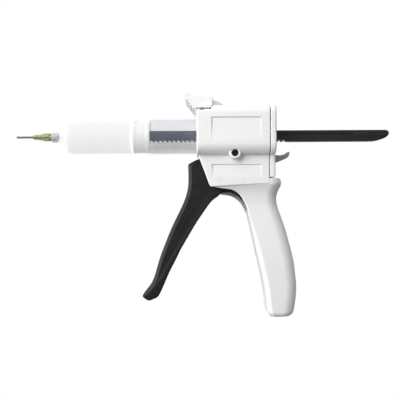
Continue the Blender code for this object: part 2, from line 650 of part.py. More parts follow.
def make_pawl_cradle(steel):
    """A channel that stays level: two cheeks on the pawl's pin, joined by a floor under its nose."""
    low, floor_top, front, floor_rear = -10.4, -9.5, 15.9, 19.4
    inside, outside = 3.1, 4.9
    outline = [(front, low), (front, -4.9), (24.5, -4.9)] + arc(PIN, 2.0, 100, -100, 8)
    outline += [(24.5, -8.6), (floor_rear + 0.8, -8.6), (floor_rear, low)]
    near, far = (prism(outline, "Y", *sorted((side * inside, side * outside))) for side in (-1, 1))
    floor = box((front, -inside - 0.2, low), (floor_rear, inside + 0.2, floor_top))
    bore = cylinder(PIN, PIN_R + 0.15, -10, 10, 16)
    add_piece("pawl_cradle", cut(joined(near, far, floor), bore), steel, (PIN[0], 0, PIN[1]))


def make_release_lever(material):
    """A thumb lever on the pawl's tail, with an upturned lip."""
    outline = [(36.0, -7.1), (46.0, -11.6), (56.5, -13.9), (60.1, -14.2), (63.0, -13.3), (65.3, -11.5),
               (66.1, -11.8), (66.1, -12.9), (65.1, -15.5), (60.1, -17.7), (56.5, -19.0),
               (46.0, -18.2), (38.2, -14.1)]
    lever = soften(prism(outline, "Y", -4.0, 4.0), 0.5, 2, 30)
    slot = prism([(30.0, -5.0), (30.0, -16.0), (45.4, -16.0), (45.4, -5.0)], "Y", -1.7, 1.7)
    add_piece("release_lever", cut(lever, slot), material, (PIN[0], 0, PIN[1]))


def strip(path, half_width, thickness):
    """A flat spring strip along (x, z) points, as thick as stated above them, or below if negative."""
    return loft([[(x, -half_width, z), (x, half_width, z), (x, half_width, z + thickness),
                  (x, -half_width, z + thickness)] for x, z in path])


def make_springs(steel):
    """Trigger return coil, pawl leaf, and the leaf that brakes the rack."""
    turns, steps = 6, 12
    front, rear, height, radius = 33.2, 47.2, -27.6, 3.1
    coil = []
    for i in range(turns * steps + 1):
        angle = 2 * pi * i / steps
        share = i / (turns * steps)
        along = front + 0.8 + (rear - front - 1.6) * share
        coil.append((along, radius * sin(angle), height + radius * cos(angle)))
    add_piece("trigger_spring", tube_along(coil, 0.45, 6), steel)

    leaf = smooth_through([(33.4, -6.2), (36.5, -5.6), (40.0, -4.9), (42.5, -5.1), (43.6, -5.6)], 3)
    add_piece("pawl_spring", strip(leaf, 1.4, -0.35), steel, (PIN[0], 0, PIN[1]))

    bow = smooth_through([(27.0, 8.2), (29.5, 7.4), (33.5, 5.4), (37.0, 4.45), (40.5, 5.4), (44.5, 7.4),
                          (47.0, 8.2)], 3)
    add_piece("brake_spring", strip(bow, 3.0, 0.45), steel)


def make_guides(material):
    """The front guide block, and the keeper that backs the brake leaf."""
    reach = BAY_HALF_WIDTH - GAP
    guide = box((7.8, -reach, -10.2), (11.5, reach, 13.7))
    add_piece("front_guide", cut(guide, rack_hole(5, 15)), material)
    keeper = box((25.0, -reach, 9.4), (49.0, reach, 13.7))
    add_piece("brake_keeper", keeper, material)


# ---- latch ----

def make_latch(latch_material, steel):
    knuckle = arc(LATCH_PIN, 2.7, 100, -120, 9)
    block = [(-0.4, 15.7), (-8.1, 25.1), (-8.8, 26.8), (-8.5, 28.7), (-7.2, 29.5), (-5.8, 29.2), (-2.1, 27.0),
             (0.5, 26.6), (10.6, 26.4), (11.2, 25.8), (11.2, 20.2), (9.2, 18.1), (-0.4, 18.1)]
    body = prism(block, "Y", -LATCH_HALF_WIDTH, LATCH_HALF_WIDTH)
    soften(body, 0.5, 2, 60)
    arm = [(9.0, 20.4), (9.0, 24.3), (12.0, 24.1), (18.6, 22.6)] + knuckle + [(15.6, 20.4)]
    arm = prism(arm, "Y", -LATCH_ARM_HALF_WIDTH, LATCH_ARM_HALF_WIDTH)
    tongue = box((3.9, -11.0, 13.9), (4.7, 11.0, 19.0))
    body = joined(body, arm, tongue)
    grooves = []
    for k in range(4):
        along = 0.16 + 0.2 * k
        x, z = -8.1 + 7.7 * along, 25.1 - 9.4 * along
        groove = [(x - 1.4, z - 1.1), (x - 0.7, z - 1.6), (x + 1.25, z + 0.1), (x + 0.6, z + 0.7)]
        grooves.append(prism(groove, "Y", -LATCH_HALF_WIDTH - 1, LATCH_HALF_WIDTH + 1))
    hole = cylinder(LATCH_PIN, LATCH_PIN_R + 0.2, -10, 10, 16)
    origin = (LATCH_PIN[0], 0, LATCH_PIN[1])
    add_piece("latch", cut(body, hole, *grooves), latch_material, origin)
    pin = [(-11.2, 0), (-11.2, LATCH_PIN_R), (11.2, LATCH_PIN_R), (11.2, 0)]
    add_piece("latch_pin", across(pin, LATCH_PIN, 16), steel, origin)


def main():
    clear_scene()
    frame = bpy.data.objects.new("gun_frame", None)
    bpy.context.collection.objects.link(frame)
    frame.location = (-GRIP_BEHIND_FRONT * MM, 0, GRIP_BELOW_BARREL * MM)

    white = make_material("white_nylon", (0.83, 0.83, 0.82), 0.45)
    white_cap = make_material("white_cover", (0.84, 0.84, 0.83), 0.42)
    black = make_material("black_nylon", (0.018, 0.018, 0.019), 0.5)
    rack_black = make_material("black_acetal", (0.022, 0.022, 0.025), 0.42)
    grey = make_material("grey_lever", (0.2, 0.19, 0.2), 0.5)
    clear = make_material("natural_polypropylene", (0.86, 0.85, 0.83), 0.28)
    milk = make_material("piston_polyethylene", (0.9, 0.9, 0.9), 0.4)
    paste = make_material("paste", (0.92, 0.92, 0.91), 0.55)
    olive = make_material("olive_hub", (0.22, 0.29, 0.04), 0.3)
    steel = make_material("steel", (0.6, 0.6, 0.6), 0.25, 1.0)
    dark_steel = make_material("black_oxide_steel", (0.05, 0.05, 0.05), 0.35, 1.0)

    make_housing(white)
    make_rear_cover(white_cap)
    make_cover_screws(steel)
    make_barrel(clear)
    make_needle(olive, steel)
    make_paste(paste)
    make_rack(rack_black)
    make_push_disc(rack_black, steel)
    make_piston(milk)
    make_trigger(black)
    make_pivot(steel, dark_steel, rack_black)
    make_pawl(steel)
    make_pawl_cradle(steel)
    make_release_lever(grey)
    make_springs(steel)
    make_guides(rack_black)
    make_latch(white_cap, steel)


main()
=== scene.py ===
# The ratchet gun with its syringe barrel, dressed for a studio picture.
# Shapes are worked out in millimetres in the gun's own frame: x runs back from the
# housing's front face, z up from the barrel's axis, y across. The frame is metres.

from math import asin, cos, degrees, pi, radians, sin

import bmesh
import bpy
import numpy as np
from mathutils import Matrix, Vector


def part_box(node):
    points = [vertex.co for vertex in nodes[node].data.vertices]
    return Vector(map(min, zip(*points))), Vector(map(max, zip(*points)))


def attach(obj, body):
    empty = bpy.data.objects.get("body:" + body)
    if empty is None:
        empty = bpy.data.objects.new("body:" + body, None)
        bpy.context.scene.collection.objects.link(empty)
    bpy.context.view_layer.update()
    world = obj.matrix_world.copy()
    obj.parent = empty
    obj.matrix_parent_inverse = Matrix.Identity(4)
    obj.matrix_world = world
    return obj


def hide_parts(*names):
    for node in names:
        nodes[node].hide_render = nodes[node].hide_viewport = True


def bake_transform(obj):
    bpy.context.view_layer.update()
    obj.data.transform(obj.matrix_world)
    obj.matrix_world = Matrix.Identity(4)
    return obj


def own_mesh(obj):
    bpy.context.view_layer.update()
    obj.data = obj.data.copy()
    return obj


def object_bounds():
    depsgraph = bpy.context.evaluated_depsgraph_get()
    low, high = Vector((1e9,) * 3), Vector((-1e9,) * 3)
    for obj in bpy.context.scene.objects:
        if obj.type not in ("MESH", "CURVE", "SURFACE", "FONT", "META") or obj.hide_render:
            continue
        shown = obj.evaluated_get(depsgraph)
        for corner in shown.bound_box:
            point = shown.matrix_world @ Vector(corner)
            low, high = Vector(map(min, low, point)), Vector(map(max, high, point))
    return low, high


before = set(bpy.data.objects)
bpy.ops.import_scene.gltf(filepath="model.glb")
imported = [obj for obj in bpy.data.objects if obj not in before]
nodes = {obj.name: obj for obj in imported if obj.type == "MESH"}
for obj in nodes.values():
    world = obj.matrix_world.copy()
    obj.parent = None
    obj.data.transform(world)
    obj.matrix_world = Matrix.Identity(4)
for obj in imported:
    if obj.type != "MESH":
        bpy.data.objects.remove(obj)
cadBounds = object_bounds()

mm = 0.001
barrelLow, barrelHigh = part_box("barrel")
gunZero = np.array([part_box("housing")[0].x, 0.0, (barrelLow.z + barrelHigh.z) / 2]) / mm
print("frame: gun zero at", gunZero.round(2).tolist(), "mm")


# curves in a plane, as arrays of points
def arcPoints(centre, radius, startDeg, endDeg, steps):
    # centre + radius (cos a, sin a), with a even from the start to the end
    a = np.radians(np.linspace(startDeg, endDeg, steps + 1))
    return np.stack([centre[0] + radius * np.cos(a), centre[1] + radius * np.sin(a)], 1)


def ringPoints(centre, radius, count):
    # a full circle, without its repeated last point
    return arcPoints(centre, radius, 0, 360, count)[:-1]


def lengthsOf(vectors):
    return np.linalg.norm(vectors, axis=-1, keepdims=True)


def roundedCorners(points, radii, steps=5):
    # each corner turns into the parabola (1-s)^2 a + 2 s(1-s) corner + s^2 b, where a and b
    # lie on its two edges, a rounding away from it, or nearly half an edge at the most
    p = np.asarray(points, float)
    r = np.maximum(np.broadcast_to(np.asarray(radii, float), (len(p),)), 0.02)[:, None]
    back, ahead = np.roll(p, 1, 0) - p, np.roll(p, -1, 0) - p
    a = p + back / lengthsOf(back) * np.minimum(r, 0.48 * lengthsOf(back))
    b = p + ahead / lengthsOf(ahead) * np.minimum(r, 0.48 * lengthsOf(ahead))
    s = np.linspace(0, 1, steps + 1)[None, :, None]
    curve = (1 - s) ** 2 * a[:, None] + 2 * s * (1 - s) * p[:, None] + s ** 2 * b[:, None]
    return curve.reshape(-1, 2)


def curveThrough(points, steps):
    # Catmull-Rom: each stretch is the cubic whose end slopes are half the chord past each end
    p = np.asarray(points, float)
    p = np.vstack([2 * p[0] - p[1], p, 2 * p[-1] - p[-2]])
    a, b, c, d = (q[:, None] for q in (p[:-3], p[1:-2], p[2:-1], p[3:]))
    t = (np.arange(steps) / steps)[None, :, None]
    cubic = 0.5 * (2 * b + (c - a) * t + (2 * a - 5 * b + 4 * c - d) * t ** 2
            + (3 * b - a - 3 * c + d) * t ** 3)
    return np.vstack([cubic.reshape(-1, p.shape[1]), p[-2]])


def inset(outline, distance):
    # each point moves inwards by distance (n1 + n2) / (1 + n1.n2), n being its two edges' normals
    edge = np.roll(outline, -1, 0) - outline
    area = np.sum(outline[:, 0] * np.roll(outline[:, 1], -1) - np.roll(outline[:, 0], -1) * outline[:, 1])
    normal = np.stack([-edge[:, 1], edge[:, 0]], 1) / np.maximum(lengthsOf(edge), 1e-9) * np.sign(area)
    before = np.roll(normal, 1, 0)
    mitre = (normal + before) / np.maximum(1 + np.sum(normal * before, 1), 0.35)[:, None]
    return outline + mitre * np.broadcast_to(np.asarray(distance, float), (len(outline),))[:, None]


placeOn = {"X": lambda u, v, w: (w, u, v), "Y": lambda u, v, w: (u, w, v), "Z": lambda u, v, w: (u, v, w)}


def objectFrom(points, faces):
    # a temporary object in millimetres, with doubles merged and faces turned outwards
    mesh = bpy.data.meshes.new("shape")
    mesh.from_pydata(points.reshape(-1, 3).tolist(), [], faces)
    bm = bmesh.new()
    bm.from_mesh(mesh)
    bmesh.ops.remove_doubles(bm, verts=bm.verts, dist=1e-4)
    bmesh.ops.recalc_face_normals(bm, faces=bm.faces)
    bm.to_mesh(mesh)
    bm.free()
    shape = bpy.data.objects.new("shape", mesh)
    bpy.context.scene.collection.objects.link(shape)
    return shape


def quadsOver(rows, columns, closeRows):
    # the four corners of every cell of a grid whose columns close on themselves
    row = np.arange(rows if closeRows else rows - 1)[:, None]
    column = np.arange(columns)[None, :]
    nextRow, nextColumn = (row + 1) % rows, (column + 1) % columns
    cells = [row * columns + column, row * columns + nextColumn, nextRow * columns + nextColumn,
            nextRow * columns + column]
    return np.stack(np.broadcast_arrays(*cells), -1).reshape(-1, 4).tolist()


def skin(rings):
    # a skin over rings of equally many points, with a face over the first and the last
    rings = np.asarray(rings, float)
    rows, columns = rings.shape[:2]
    ends = [list(range(columns)), list(range((rows - 1) * columns, rows * columns))]
    return objectFrom(rings, quadsOver(rows, columns, False) + ends)


def carried(outline, axis, low, high, rim=0.0, steps=4, flat=0.0, radii=None, rearRim=None):
    # an outline carried along an axis; at a distance p from either end it is drawn in by
    # r - sqrt(r^2 - (r - p)^2), a quarter circle of radius r, or by a softened r - p where flat;
    # its corners are rounded after that, by their radii less what they were drawn in by
    outline = np.asarray(outline, float)
    corners = None if radii is None else np.broadcast_to(np.asarray(radii, float), (len(outline),))
    place = placeOn[axis]
    halves = []
    for end, away, endRim in ((low, 1, rim), (high, -1, rim if rearRim is None else rearRim)):
        rims = np.broadcast_to(np.asarray(endRim, float), (len(outline),))
        widest = float(rims.max())
        depths = np.zeros(1)
        if widest > 0:
            turns = np.linspace(0, pi / 2, steps + 1)
            depths = np.append(widest * (1 - np.cos(turns)), widest + 0.25)
        rings = []
        for depth in depths:
            rest = np.maximum(rims - depth, 0)
            circle = rims - np.sqrt(np.maximum(rims ** 2 - rest ** 2, 0))
            chamfer = np.where(rims > 0, 0.5 * (rims - depth + np.sqrt((rims - depth) ** 2 + 0.16)), 0)
            drawnIn = circle * (1 - flat) + chamfer * flat
            ring = inset(outline, drawnIn)
            if corners is not None:
                ring = roundedCorners(ring, np.maximum(corners - drawnIn, 0.25 * corners))
            level = end + away * depth
            rings.append(np.stack(np.broadcast_arrays(*place(ring[:, 0], ring[:, 1], level)), 1))
        halves.append(rings)
    return skin(halves[0] + halves[1][::-1])


def across(outline, half, rim=0.0, steps=4, flat=0.0, radii=None):
    # an outline carried from one side to the other
    return carried(outline, "Y", -half, half, rim, steps, flat, radii)


def turned(profile, centre=(0.0, 0.0), axis="X", segments=96):
    # a closed (along, radius) profile turned full circle: (along, radius sin a, radius cos a)
    profile = np.asarray(profile, float)
    a = 2 * pi * np.arange(segments)[:, None] / segments
    along = np.broadcast_to(profile[None, :, 0], (segments, len(profile)))
    side = profile[None, :, 1] * np.sin(a) + centre[0]
    up = profile[None, :, 1] * np.cos(a) + centre[1]
    points = np.stack((along, side, up) if axis == "X" else (side, along, up), -1)
    onAxis = profile[:, 1] <= 0
    quads = np.array(quadsOver(segments, len(profile), True))
    keep = ~(onAxis[quads[:, 0] % len(profile)] & onAxis[quads[:, 1] % len(profile)])
    return objectFrom(points, quads[keep].tolist())


def rod(reach, radius, centre, segments):
    # a plain round bar from one side to the other
    return turned([(-reach, 0), (-reach, radius), (reach, radius), (reach, 0)], centre, "Y", segments)


def block(low, high):
    # a box from its low corner to its high one
    corners = [(low[0], low[2]), (high[0], low[2]), (high[0], high[2]), (low[0], high[2])]
    return carried(corners, "Y", low[1], high[1])


def tubeAlong(path, aside, radius, sides=12):
    # a circle carried along a path: path + radius (cos a, sin a) in the plane square to it, where
    # aside points roughly across the path and fixes where a = 0 is
    path, aside = np.asarray(path, float), np.asarray(aside, float)
    ahead = np.gradient(path, axis=0)
    ahead /= lengthsOf(ahead)
    second = np.cross(ahead, aside)
    second /= lengthsOf(second)
    first = np.cross(second, ahead)
    a = 2 * pi * np.arange(sides) / sides
    ring = np.cos(a)[None, :, None] * first[:, None] + np.sin(a)[None, :, None] * second[:, None]
    return skin(path[:, None] + radius * ring)


def combine(base, operation, tools):
    # joins the tools onto the base, or cuts them out of it; the tools are used up
    for tool in tools:
        modifier = base.modifiers.new("combine", "BOOLEAN")
        modifier.operation, modifier.object = operation, tool
    bpy.context.view_layer.update()
    mesh = bpy.data.meshes.new_from_object(base.evaluated_get(bpy.context.evaluated_depsgraph_get()))
    for shape in [base, *tools]:
        bpy.data.objects.remove(shape, do_unlink=True)
    result = bpy.data.objects.new("shape", mesh)
    bpy.context.scene.collection.objects.link(result)
    return result


def join(base, *tools):
    return combine(base, "UNION", tools)


def cut(base, *tools):
    return combine(base, "DIFFERENCE", tools)


def finish(name, shape, coat, body, node, sharp=32):
    # puts a shape in the frame in metres, and says what it is, what it rides on and replaces
    mesh = shape.data
    bm = bmesh.new()
    bm.from_mesh(mesh)
    bmesh.ops.remove_doubles(bm, verts=bm.verts, dist=2e-4)
    bmesh.ops.dissolve_degenerate(bm, edges=bm.edges, dist=1e-4)
    bm.to_mesh(mesh)
    bm.free()
    points = np.empty(len(mesh.vertices) * 3)
    mesh.vertices.foreach_get("co", points)
    mesh.vertices.foreach_set("co", ((points.reshape(-1, 3) + gunZero) * mm).ravel())
    mesh.materials.clear()
    mesh.materials.append(finishOf[coat])
    mesh.shade_smooth()
    mesh.set_sharp_from_angle(angle=radians(sharp))
    mesh.update()
    shape.name = mesh.name = name
    even = shape.modifiers.new("evenNormals", "WEIGHTED_NORMAL")
    even.keep_sharp, even.weight = True, 60
    if body:
        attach(shape, body)
    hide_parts(node)
    return shape


# node groups that several finishes share
def newGroup(name, inputs, outputs):
    # a number makes a value socket, None or three numbers a vector; every output is a value
    group = bpy.data.node_groups.new(name, "ShaderNodeTree")
    for label, value in inputs.items():
        kind = "NodeSocketFloat" if isinstance(value, float) else "NodeSocketVector"
        socket = group.interface.new_socket(label, in_out="INPUT", socket_type=kind)
        if value is not None:
            socket.default_value = value
    for label in outputs:
        group.interface.new_socket(label, in_out="OUTPUT", socket_type="NodeSocketFloat")
    return group, group.nodes.new("NodeGroupInput"), group.nodes.new("NodeGroupOutput")


def addNode(tree, kind, settings=None, **inputs):
    # a node with its settings made and its inputs filled: a socket links, a value is set
    node = tree.nodes.new("ShaderNode" + kind)
    for label, value in (settings or {}).items():
        setattr(node, label, value)
    for label, value in inputs.items():
        socket = node.inputs[int(label[1:]) if label[1:].isdigit() else label]   # i0 is input 0
        if isinstance(value, bpy.types.NodeSocket):
            tree.links.new(value, socket)
        else:
            socket.default_value = value
    return node


def arithmetic(tree, operation, a, b, clamp=False):
    return addNode(tree, "Math", {"operation": operation, "use_clamp": clamp}, i0=a, i1=b).outputs[0]


def smoothStep(tree, value, start, end, low=0.0, high=1.0):
    # goes smoothly from low to high while the value goes from start to end
    return addNode(tree, "MapRange", {"interpolation_type": "SMOOTHSTEP"}, i0=value, i1=start, i2=end,
            i3=low, i4=high).outputs[0]


def mixColours(tree, share, first, second):
    # either end is a socket or three numbers
    first, second = (end if isinstance(end, bpy.types.NodeSocket) else (*end, 1) for end in (first, second))
    return addNode(tree, "Mix", {"data_type": "RGBA"}, i0=share, i6=first, i7=second).outputs[2]


def makeMouldedGrain():
    # the fine even pitting of a spark-eroded mould, with a slow change in gloss over it
    inputs = dict(Position=None, Scale=2500.0, Pits=0.5)
    group, given, made = newGroup("mouldedGrain", inputs, ["Height", "Gloss"])
    fine = addNode(group, "TexNoise", {"noise_dimensions": "3D"}, Vector=given.outputs["Position"],
            Scale=given.outputs["Scale"], Detail=3.0, Roughness=0.6)
    cells = addNode(group, "TexVoronoi", {"feature": "SMOOTH_F1"}, Vector=given.outputs["Position"],
            Scale=given.outputs["Scale"], Smoothness=0.6)
    pits = arithmetic(group, "MULTIPLY", cells.outputs["Distance"], given.outputs["Pits"])
    height = arithmetic(group, "ADD", fine.outputs[0], pits)
    slow = addNode(group, "TexNoise", {}, Vector=given.outputs["Position"], Scale=45.0, Detail=2.0)
    group.links.new(height, made.inputs["Height"])
    group.links.new(slow.outputs[0], made.inputs["Gloss"])
    return group


def makeHandlingMarks():
    # smudges and faint rubbed streaks, as a mask from 0 to 1
    group, given, made = newGroup("handlingMarks", dict(Position=None, Scale=60.0, Cover=0.5), ["Mask"])
    bent = addNode(group, "TexNoise", {}, Vector=given.outputs["Position"], Scale=given.outputs["Scale"],
            Detail=5.0, Roughness=0.62, Distortion=0.8)
    low = arithmetic(group, "SUBTRACT", 0.72, arithmetic(group, "MULTIPLY", given.outputs["Cover"], 0.4))
    mask = smoothStep(group, bent.outputs[0], low, arithmetic(group, "ADD", low, 0.16))
    group.links.new(mask, made.inputs["Mask"])
    return group


def makeEdgeWear():
    # where the surface is bent outwards, broken up by noise, as a mask from 0 to 1
    group, given, made = newGroup("edgeWear", dict(Position=None, Reach=0.5), ["Mask"])
    shape = addNode(group, "NewGeometry")
    chips = addNode(group, "TexNoise", {}, Vector=given.outputs["Position"], Scale=350.0, Detail=4.0)
    bend = arithmetic(group, "ADD", shape.outputs["Pointiness"],
            arithmetic(group, "MULTIPLY", chips.outputs[0], 0.08))
    low = arithmetic(group, "SUBTRACT", 0.64, arithmetic(group, "MULTIPLY", given.outputs["Reach"], 0.08))
    mask = smoothStep(group, bend, low, arithmetic(group, "ADD", low, 0.12))
    group.links.new(mask, made.inputs["Mask"])
    return group


def makeDrawnLines():
    # fine lines drawn along one direction, from noise stretched that way
    inputs = dict(Position=None, Stretch=(60.0, 2400.0, 2400.0))
    group, given, made = newGroup("drawnLines", inputs, ["Height"])
    long = addNode(group, "VectorMath", {"operation": "MULTIPLY"}, i0=given.outputs["Position"],
            i1=given.outputs["Stretch"])
    lines = addNode(group, "TexNoise", {}, Vector=long.outputs[0], Scale=1.0, Detail=4.0, Roughness=0.7)
    group.links.new(lines.outputs[0], made.inputs["Height"])
    return group


mouldedGrain, handlingMarks = makeMouldedGrain(), makeHandlingMarks()
edgeWear, drawnLines = makeEdgeWear(), makeDrawnLines()
print("node groups made")


finishes = {
    "satinWhiteNylon": dict(
        colour=(0.845, 0.842, 0.838), marked=(0.80, 0.795, 0.785), worn=(0.88, 0.88, 0.875), roughness=0.42,
        grainScale=2600, grainDepth=0.00002, pits=0.6, gloss=0.16, cover=0.35, wear=0.3,
        fixed={"Specular IOR Level": 0.4}),
    "smoothWhiteNylon": dict(
        colour=(0.85, 0.848, 0.845), marked=(0.81, 0.805, 0.80), worn=(0.88, 0.88, 0.875), roughness=0.36,
        grainScale=3200, grainDepth=0.000012, pits=0.4, gloss=0.12, cover=0.3, wear=0.3,
        fixed={"Specular IOR Level": 0.4}),
    "blackGlassNylon": dict(
        colour=(0.0058, 0.0058, 0.006), marked=(0.009, 0.009, 0.0093), worn=(0.03, 0.03, 0.03),
        roughness=0.46, grainScale=2200, grainDepth=0.00003, pits=0.7, gloss=0.2, cover=0.5, wear=0.5,
        fixed={"Specular IOR Level": 0.3}),
    "blackAcetal": dict(
        colour=(0.013, 0.013, 0.0142), marked=(0.018, 0.018, 0.0195), worn=(0.04, 0.04, 0.042),
        roughness=0.34, grainScale=3000, grainDepth=0.00001, pits=0.3, gloss=0.14, cover=0.45, wear=0.5,
        lines=(50.0, 2600.0, 2600.0), lineShare=0.5, fixed={"Specular IOR Level": 0.45}),
    "greyLeverPlastic": dict(
        colour=(0.37, 0.35, 0.357), marked=(0.43, 0.41, 0.415), worn=(0.5, 0.49, 0.49), roughness=0.36,
        grainScale=2600, grainDepth=0.00002, pits=0.5, gloss=0.15, cover=0.6, wear=0.7,
        lines=(60.0, 900.0, 900.0), lineShare=1.5),
    # painted glow: the piston's white emission stands in for light and lifts its shaded lower half
    "waxyPistonPaintedGlow": dict(
        colour=(0.44, 0.44, 0.44), marked=(0.42, 0.42, 0.42), worn=(0.48, 0.48, 0.48), roughness=0.38,
        grainScale=1800, grainDepth=0.00001, pits=0.2, gloss=0.12, cover=0.4, wear=0.2,
        fixed={"Subsurface Weight": 0.6, "Subsurface Scale": 0.006, "Subsurface Radius": (1, 1, 1),
               "Emission Color": (1, 1, 1, 1), "Emission Strength": 0.36}),
    # painted glow: the paste's strong white emission over a dark base colour stands in for light, so it reads
    # flat white whatever falls on it
    "whitePastePaintedGlow": dict(
        colour=(0.145, 0.145, 0.145), marked=(0.135, 0.135, 0.135), worn=(0.15, 0.15, 0.15), roughness=0.5,
        grainScale=420, grainDepth=0.00005, pits=0.2, gloss=0.15, cover=0.4, wear=0.0,
        fixed={"Subsurface Weight": 1.0, "Subsurface Scale": 0.014, "Subsurface Radius": (1, 1, 1),
               "Emission Color": (1, 1, 1, 1), "Emission Strength": 0.74, "Specular IOR Level": 0.15}),
    "brightSteel": dict(
        colour=(0.63, 0.63, 0.62), marked=(0.52, 0.52, 0.51), worn=(0.75, 0.75, 0.74), roughness=0.24,
        metallic=1.0, grainScale=5200, grainDepth=0.000004, pits=0.2, gloss=0.14, cover=0.5, wear=0.5,
        lines=(90.0, 5200.0, 5200.0), lineShare=1.2),
    "needleSteel": dict(
        colour=(0.11, 0.11, 0.11), marked=(0.09, 0.09, 0.09), worn=(0.2, 0.2, 0.2), roughness=0.3,
        metallic=1.0, grainScale=5200, grainDepth=0.000002, pits=0.2, gloss=0.1, cover=0.4, wear=0.2),
    "hardenedSteel": dict(
        colour=(0.36, 0.355, 0.35), marked=(0.27, 0.265, 0.26), worn=(0.55, 0.55, 0.54), roughness=0.36,
        metallic=1.0, grainScale=3600, grainDepth=0.00001, pits=0.5, gloss=0.2, cover=0.55, wear=0.7),
    "springWire": dict(
        colour=(0.5, 0.5, 0.51), marked=(0.38, 0.37, 0.36), worn=(0.62, 0.62, 0.62), roughness=0.28,
        metallic=1.0, grainScale=4200, grainDepth=0.000006, pits=0.3, gloss=0.15, cover=0.5, wear=0.3),
    "blackOxide": dict(
        colour=(0.03, 0.03, 0.031), marked=(0.045, 0.042, 0.04), worn=(0.2, 0.2, 0.2), roughness=0.38,
        metallic=0.7, grainScale=4000, grainDepth=0.00001, pits=0.5, gloss=0.15, cover=0.4, wear=0.6),
}


def buildFinish(name, look):
    # colour = plain, then marks, then worn edges; roughness = own + slow gloss + marks; bump = grain + lines
    material = bpy.data.materials.new(name)
    material.use_nodes = True
    tree = material.node_tree
    shader = tree.nodes["Principled BSDF"]
    position = addNode(tree, "TexCoord").outputs["Object"]
    grain = addNode(tree, "Group", {"node_tree": mouldedGrain}, Position=position,
            Scale=look["grainScale"], Pits=look["pits"])
    marks = addNode(tree, "Group", {"node_tree": handlingMarks}, Position=position, Cover=look["cover"])
    wear = addNode(tree, "Group", {"node_tree": edgeWear}, Position=position, Reach=look["wear"])
    marked = mixColours(tree, marks.outputs["Mask"], look["colour"], look["marked"])
    worn = mixColours(tree, wear.outputs["Mask"], marked, look["worn"])
    tree.links.new(worn, shader.inputs["Base Color"])
    shift = arithmetic(tree, "SUBTRACT", grain.outputs["Gloss"], 0.5)
    gloss = arithmetic(tree, "ADD", arithmetic(tree, "MULTIPLY", shift, look["gloss"]), look["roughness"])
    rough = arithmetic(tree, "ADD", gloss, arithmetic(tree, "MULTIPLY", marks.outputs["Mask"], 0.05), True)
    tree.links.new(rough, shader.inputs["Roughness"])
    height = grain.outputs["Height"]
    if "lines" in look:
        drawn = addNode(tree, "Group", {"node_tree": drawnLines}, Position=position, Stretch=look["lines"])
        share = arithmetic(tree, "MULTIPLY", drawn.outputs["Height"], look["lineShare"])
        height = arithmetic(tree, "ADD", height, share)
    bump = addNode(tree, "Bump", {}, Height=height, Strength=1.0, Distance=look["grainDepth"])
    tree.links.new(bump.outputs[0], shader.inputs["Normal"])
    shader.inputs["Metallic"].default_value = look.get("metallic", 0.0)
    for label, value in look.get("fixed", {}).items():
        shader.inputs[label].default_value = value
    return material


finishOf = {name: buildFinish(name, look) for name, look in finishes.items()}


def buildClearFinish(name, look):
    # a see-through moulded skin: it hides more of what is behind it where it is seen aslant
    material = buildFinish(name, look)
    tree = material.node_tree
    shader = tree.nodes["Principled BSDF"]
    slant = addNode(tree, "LayerWeight", {}, Blend=look["slantBlend"])
    slanted = arithmetic(tree, "MULTIPLY", slant.outputs["Facing"], look["slantHaze"])
    haze = arithmetic(tree, "ADD", slanted, look["haze"], True)
    tree.links.new(haze, shader.inputs["Alpha"])
    return material


def addBoreHazeAndShade(material, look):
    # each wall hides what is behind it once, from the side it faces; the outside is cool and thin,
    # the bore is warm, with painted shade that makes it darker and hide more towards the bottom,
    # easing off near the very bottom; where paste wets it the wall is clear, and the nozzle, thick for
    # its size, is cloudy
    tree = material.node_tree
    shader = tree.nodes["Principled BSDF"]
    place = addNode(tree, "TexCoord").outputs["Object"]
    apart = addNode(tree, "SeparateXYZ", {}, i0=place)
    along = apart.outputs["X"]
    up = arithmetic(tree, "SUBTRACT", apart.outputs["Z"], look["axisZ"])
    across = addNode(tree, "CombineXYZ", {}, Y=apart.outputs["Y"], Z=up)
    radius = addNode(tree, "VectorMath", {"operation": "LENGTH"}, i0=across.outputs[0]).outputs["Value"]
    outer = arithmetic(tree, "GREATER_THAN", radius, (look["bore"] + look["outside"]) / 2)
    # painted shade: the bore's cover grows and its colour darkens from the top of the barrel towards the
    # bottom
    thick = smoothStep(tree, up, look["shadeTopZ"], look["shadeBottomZ"], look["hazeAtTop"], look["hazeWithShadeLow"])
    easedNearBottom = smoothStep(tree, up, look["shadeBottomZ"] - 0.001, look["shadeBottomZ"] - 0.005, 1.0,
            look["bottomEaseShare"])
    boreHazeAndShade = arithmetic(tree, "MULTIPLY", thick, easedNearBottom)
    boreTintAndShade = mixColours(tree, boreHazeAndShade, look["warmBoreTop"], look["warmBoreShaded"])
    colour = mixColours(tree, outer, boreTintAndShade, shader.inputs["Base Color"].links[0].from_socket)
    nozzle = look["nozzleX"]
    front = addNode(tree, "MapRange", {}, i0=along, i1=nozzle, i2=nozzle + 0.004, i3=1.0, i4=0.0).outputs[0]
    tree.links.new(mixColours(tree, front, colour, look["nozzle"]), shader.inputs["Base Color"])
    slanted = shader.inputs["Alpha"].links[0].from_socket
    wall = addNode(tree, "Mix", {"data_type": "FLOAT"}, i0=outer, i2=boreHazeAndShade, i3=slanted).outputs[0]
    dry = smoothStep(tree, along, look["wetX"] - 0.0008, look["wetX"] + 0.0008, look["wetShare"])
    cloud = smoothStep(tree, along, nozzle - 0.0006, nozzle + 0.0006, look["nozzleCloud"], 0.0)
    seen = arithmetic(tree, "ADD", arithmetic(tree, "MULTIPLY", wall, dry), cloud, True)
    facing = arithmetic(tree, "SUBTRACT", 1.0, addNode(tree, "NewGeometry").outputs["Backfacing"])
    tree.links.new(arithmetic(tree, "MULTIPLY", seen, facing), shader.inputs["Alpha"])


